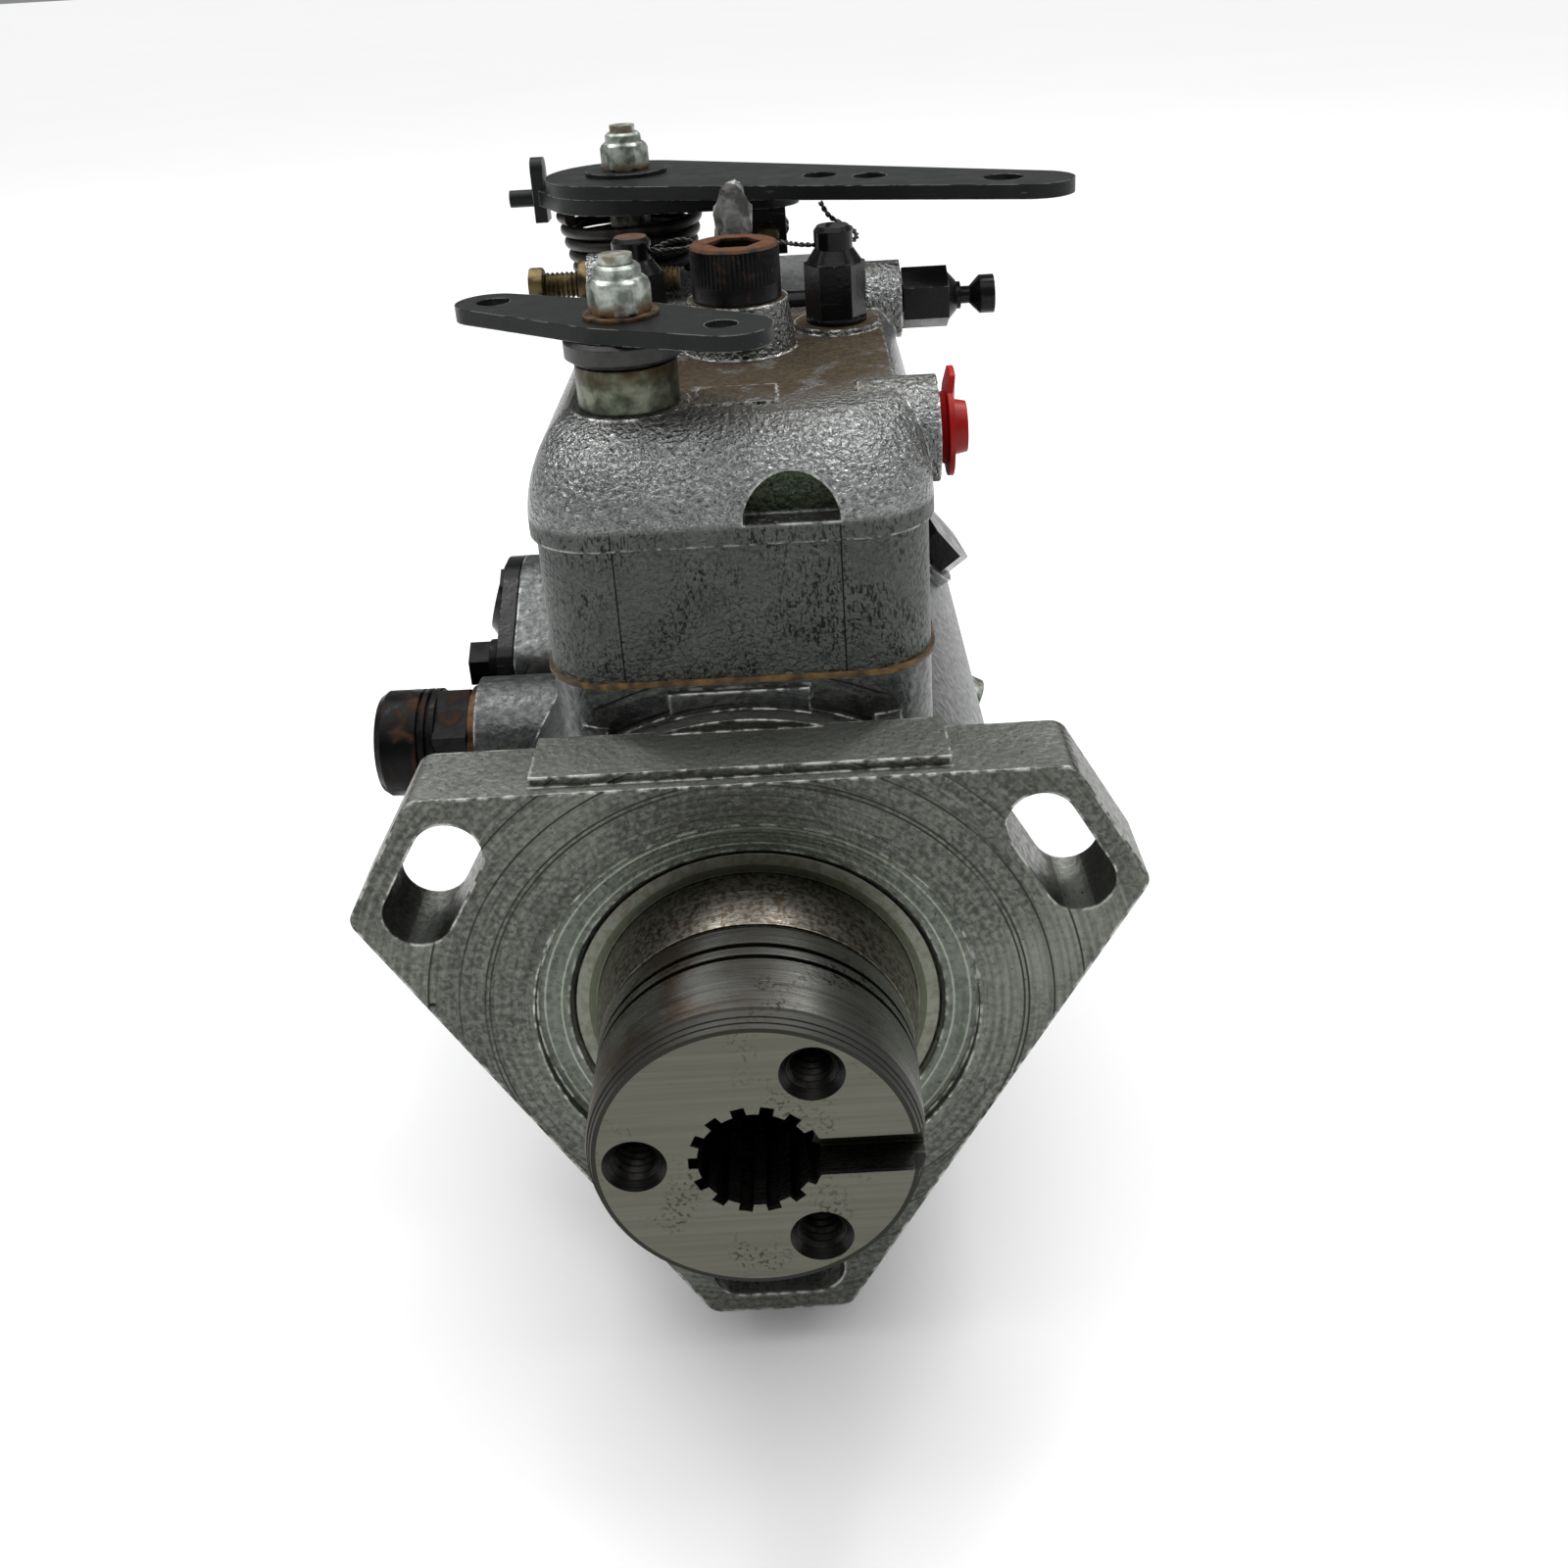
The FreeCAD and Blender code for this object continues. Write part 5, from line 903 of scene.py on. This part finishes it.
# The thread steel is near black: painted shade inside the holes.
thread_steel = simple("thread_steel", 0.9, 0.35, (0.008, 0.008, 0.007), (0.030, 0.028, 0.025), 500, 0.0001)
for number, angle in enumerate(HOLE_ANGLES, start=1):
    middle = Vector((HOLE_CIRCLE * cos(radians(angle)), 0, HOLE_CIRCLE * sin(radians(angle))))
    thread = bmesh.new()
    corners = [(THREAD_BURIED, THREAD_FRONT)]
    for turn in range(THREAD_TURNS):
        corners.append((THREAD_ROOT, THREAD_FRONT + turn * THREAD_PITCH))
        corners.append((THREAD_CREST, THREAD_FRONT + (turn + 0.5) * THREAD_PITCH))
    corners.append((THREAD_ROOT, THREAD_FRONT + THREAD_TURNS * THREAD_PITCH))
    corners.append((THREAD_BURIED, THREAD_FRONT + THREAD_TURNS * THREAD_PITCH))
    points = [thread.verts.new(middle + Vector((out, deep, 0))) for out, deep in corners]
    outline = [thread.edges.new((first, second)) for first, second in zip(points, points[1:] + points[:1])]
    bmesh.ops.spin(thread, geom=points + outline, cent=middle, axis=(0, 1, 0), angle=2 * pi,
                   steps=28, use_merge=True)
    bmesh.ops.remove_doubles(thread, verts=thread.verts, dist=MERGE_DISTANCE)
    piece(f"hub_thread_{number}", thread, thread_steel, "drive_line")

# %% [markdown]
# ## The red cap
#
# A soft red cap closes the return port for transport. It is a short stopper with
# a wide thin rim to pull it by, so it is a spin of its own outline round the
# port. The rim is drawn out at the top into a small tab.

# %% The red cap
PORT_MIDDLE = Vector((0, 38, 78.6)) * MM
TAB_HALF_ANGLE = radians(24)
TAB_FROM = 7.2 * MM
TAB_RISE = 2.0 * MM
TAB_LEAN = 0.5 * MM
CAP_OUTLINE = [(30.5, 0), (30.5, 4.6), (32.1, 5.2), (33.1, 5.7), (33.3, 7.4), (34.1, 7.4),
               (34.4, 4.3), (36.4, 3.9), (36.4, 2.7), (35.0, 2.4), (35.0, 0)]

cap = bmesh.new()
points = [cap.verts.new(PORT_MIDDLE + Vector((out, 0, away)) * MM) for out, away in CAP_OUTLINE]
outline = [cap.edges.new(pair) for pair in zip(points, points[1:])]
bmesh.ops.spin(cap, geom=points + outline, cent=PORT_MIDDLE, axis=(1, 0, 0), angle=2 * pi,
               steps=48, use_merge=True)
bmesh.ops.remove_doubles(cap, verts=cap.verts, dist=MERGE_DISTANCE)
for vert in cap.verts:
    arm = (vert.co - PORT_MIDDLE).yz
    if arm.length > TAB_FROM and abs(arm.angle_signed(Vector((0, 1)))) < TAB_HALF_ANGLE:
        vert.co.z += TAB_RISE
        vert.co.x += TAB_LEAN
piece("red_cap", cap, red_plastic, "base", ("return_port_plug",))

# %% [markdown]
# ## The seal wire
#
# A seal wire is two thin strands twisted together. Its main run repeats the
# corners of the solid wire and lets a smooth curve follow them. The strands are
# then laid round points read from that curve, half a turn apart, which is how a
# real twist is made. The wire's spare end stands up behind the right cap nut, and
# a slack loop lies beside the left one.

# %% Points along a smooth route
WIRE_HEIGHT = 100
STRAND_RADIUS = 0.23 * MM
TWIST_PITCH = 2.4 * MM


def smooth_route(name, places):
    """Points read from a smooth curve that the given places (in mm) guide."""
    curve = bpy.data.curves.new(name, "CURVE")
    curve.dimensions = "3D"
    curve.resolution_u = 48
    spline = curve.splines.new("NURBS")
    spline.points.add(len(places) - 1)
    for point, place in zip(spline.points, places):
        point.co = (*(Vector(place) * MM), 1)
    spline.order_u = 3
    spline.use_endpoint_u = True
    guide = bpy.data.objects.new(name, curve)
    bpy.context.collection.objects.link(guide)
    line = bpy.data.meshes.new_from_object(guide)
    points = [vert.co.copy() for vert in line.vertices]
    bpy.data.objects.remove(guide)
    bpy.data.meshes.remove(line)
    return points


def strand(points, start_turn):
    """One strand of the twist, as a mesh tube round the route."""
    laid, run = [], 0.0
    for before, point, after in zip(points[:1] + points, points, points[1:] + points[-1:]):
        heading = (after - before).normalized()
        side = heading.cross(Vector((0, 0.2, 1))).normalized()
        run += (point - before).length
        turn = start_turn + 2 * pi * run / TWIST_PITCH
        laid.append(point + (side * cos(turn) + heading.cross(side) * sin(turn)) * STRAND_RADIUS)
    curve = bpy.data.curves.new("strand", "CURVE")
    curve.dimensions = "3D"
    curve.bevel_depth = STRAND_RADIUS
    curve.bevel_resolution = 1
    curve.use_fill_caps = True
    spline = curve.splines.new("POLY")
    spline.points.add(len(laid) - 1)
    for target, place in zip(spline.points, laid):
        target.co = (*place, 1)
    tube = bpy.data.objects.new("strand", curve)
    bpy.context.collection.objects.link(tube)
    mesh = bpy.data.meshes.new_from_object(tube)
    bpy.data.objects.remove(tube)
    return mesh


print(f"the strands turn once every {TWIST_PITCH / MM:.1f} mm")

# %% Main run, spare end and slack loop
main_run = [(x, y, WIRE_HEIGHT) for x, y in ((-14.5, 74.7), (-10.3, 74.7), (-4, 80.5),
                                             (9, 80.5), (13.0, 74.7), (17.2, 74.7))]
spare_end = [(18.2, 74.7, WIRE_HEIGHT), (22.6, 75.2, WIRE_HEIGHT), (22.4, 79.0, 101.4),
             (18.6, 79.6, 103.2), (17.4, 79.0, 104.6), (16.6, 78.8, 106.4)]
slack_loop = [(-14.5, 74.9, 100.2), (-10.5, 73.4, 100.9), (-6.4, 75.0, 100.4), (-4.6, 78.4, 100.8),
              (-7.6, 78.6, 101.6), (-11.0, 77.0, 101.0), (-14.4, 76.4, 99.6)]

sealing = bmesh.new()
for number, places in enumerate((main_run, spare_end, slack_loop)):
    points = smooth_route(f"wire_route_{number}", places)
    for half_turn in (0, pi):
        mesh = strand(points, half_turn)
        sealing.from_mesh(mesh)
        bpy.data.meshes.remove(mesh)
wire_steel = simple("seal_wire_steel", 0.8, 0.32, (0.010, 0.010, 0.010), (0.070, 0.068, 0.064), 900, 0.00005)
bmesh.ops.remove_doubles(sealing, verts=sealing.verts, dist=FINE_MERGE_DISTANCE)
piece("twisted_seal_wire", sealing, wire_steel, "base", ("seal_wire",), smooth_below=60)

# %% [markdown]
# ## The lead seal
#
# The seal is a lead slug, crimped flat on the wire with pliers, which leaves it
# dented and pointed at the top. A subdivided block is squeezed towards a point
# and every point is then pushed a little by a noise, so that no flat stays flat.

# %% The lead seal
LEAD_LOW = Vector((-1.4, 78.3, 101.2)) * MM
LEAD_SIZE = Vector((6.0, 2.8, 9.2)) * MM
DENT_DEPTH = 0.14
DENT_SCALE = 4.3
DENT_SEED = 8

slug = bmesh.new()
bmesh.ops.create_cube(slug, size=1)
bmesh.ops.subdivide_edges(slug, edges=slug.edges, cuts=5, use_grid_fill=True)
# Without a seed the noise follows the clock, and the dents change from run to run.
noise.seed_set(DENT_SEED)

# The upper part narrows and leans over to a blunt point.
for vert in slug.verts:
    up = vert.co.z + 0.5
    squeeze = 1 - 0.75 * max(0, up - 0.55) / 0.45
    vert.co.x = vert.co.x * squeeze + 0.10 * max(0, up - 0.5)
    vert.co.y *= 1 - 0.5 * max(0, up - 0.6)
    vert.co += noise.noise_vector(vert.co * DENT_SCALE) * DENT_DEPTH
bmesh.ops.scale(slug, verts=slug.verts, vec=LEAD_SIZE)
bmesh.ops.translate(slug, verts=slug.verts, vec=LEAD_LOW + LEAD_SIZE / 2)

lead = Finish("crimped_lead", metallic=0.7, roughness=0.48)
dents = lead.noise(420, 4, distortion=0.8)
lead.colour(lead.mix(lead.step(dents, 0.35, 0.65), (0.11, 0.11, 0.105), (0.32, 0.32, 0.31)))
lead.bump(dents, 0.0007, 0.6)
piece("crimped_seal", slug, lead, "base", ("lead_seal",), smooth_below=14)

# %% [markdown]
# ## The regulating spring
#
# A small spring above the regulating piston is pressed together as the piston
# rises. A solid spring can't change its length, so a merged copy of its mesh
# becomes a piece of its own on the base, in place of the solid one.

coils = bmesh.new()
coils.from_mesh(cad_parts["regulating_spring"].data)
bmesh.ops.remove_doubles(coils, verts=coils.verts, dist=FINE_MERGE_DISTANCE)
low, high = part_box("regulating_spring")
pressed = piece("regulating_coils", coils, spring_wire, "base", ("regulating_spring",))
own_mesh(pressed)

# %% [markdown]
# ## The box of the solids
#
# The dressed pump must stay inside the box of its solids.
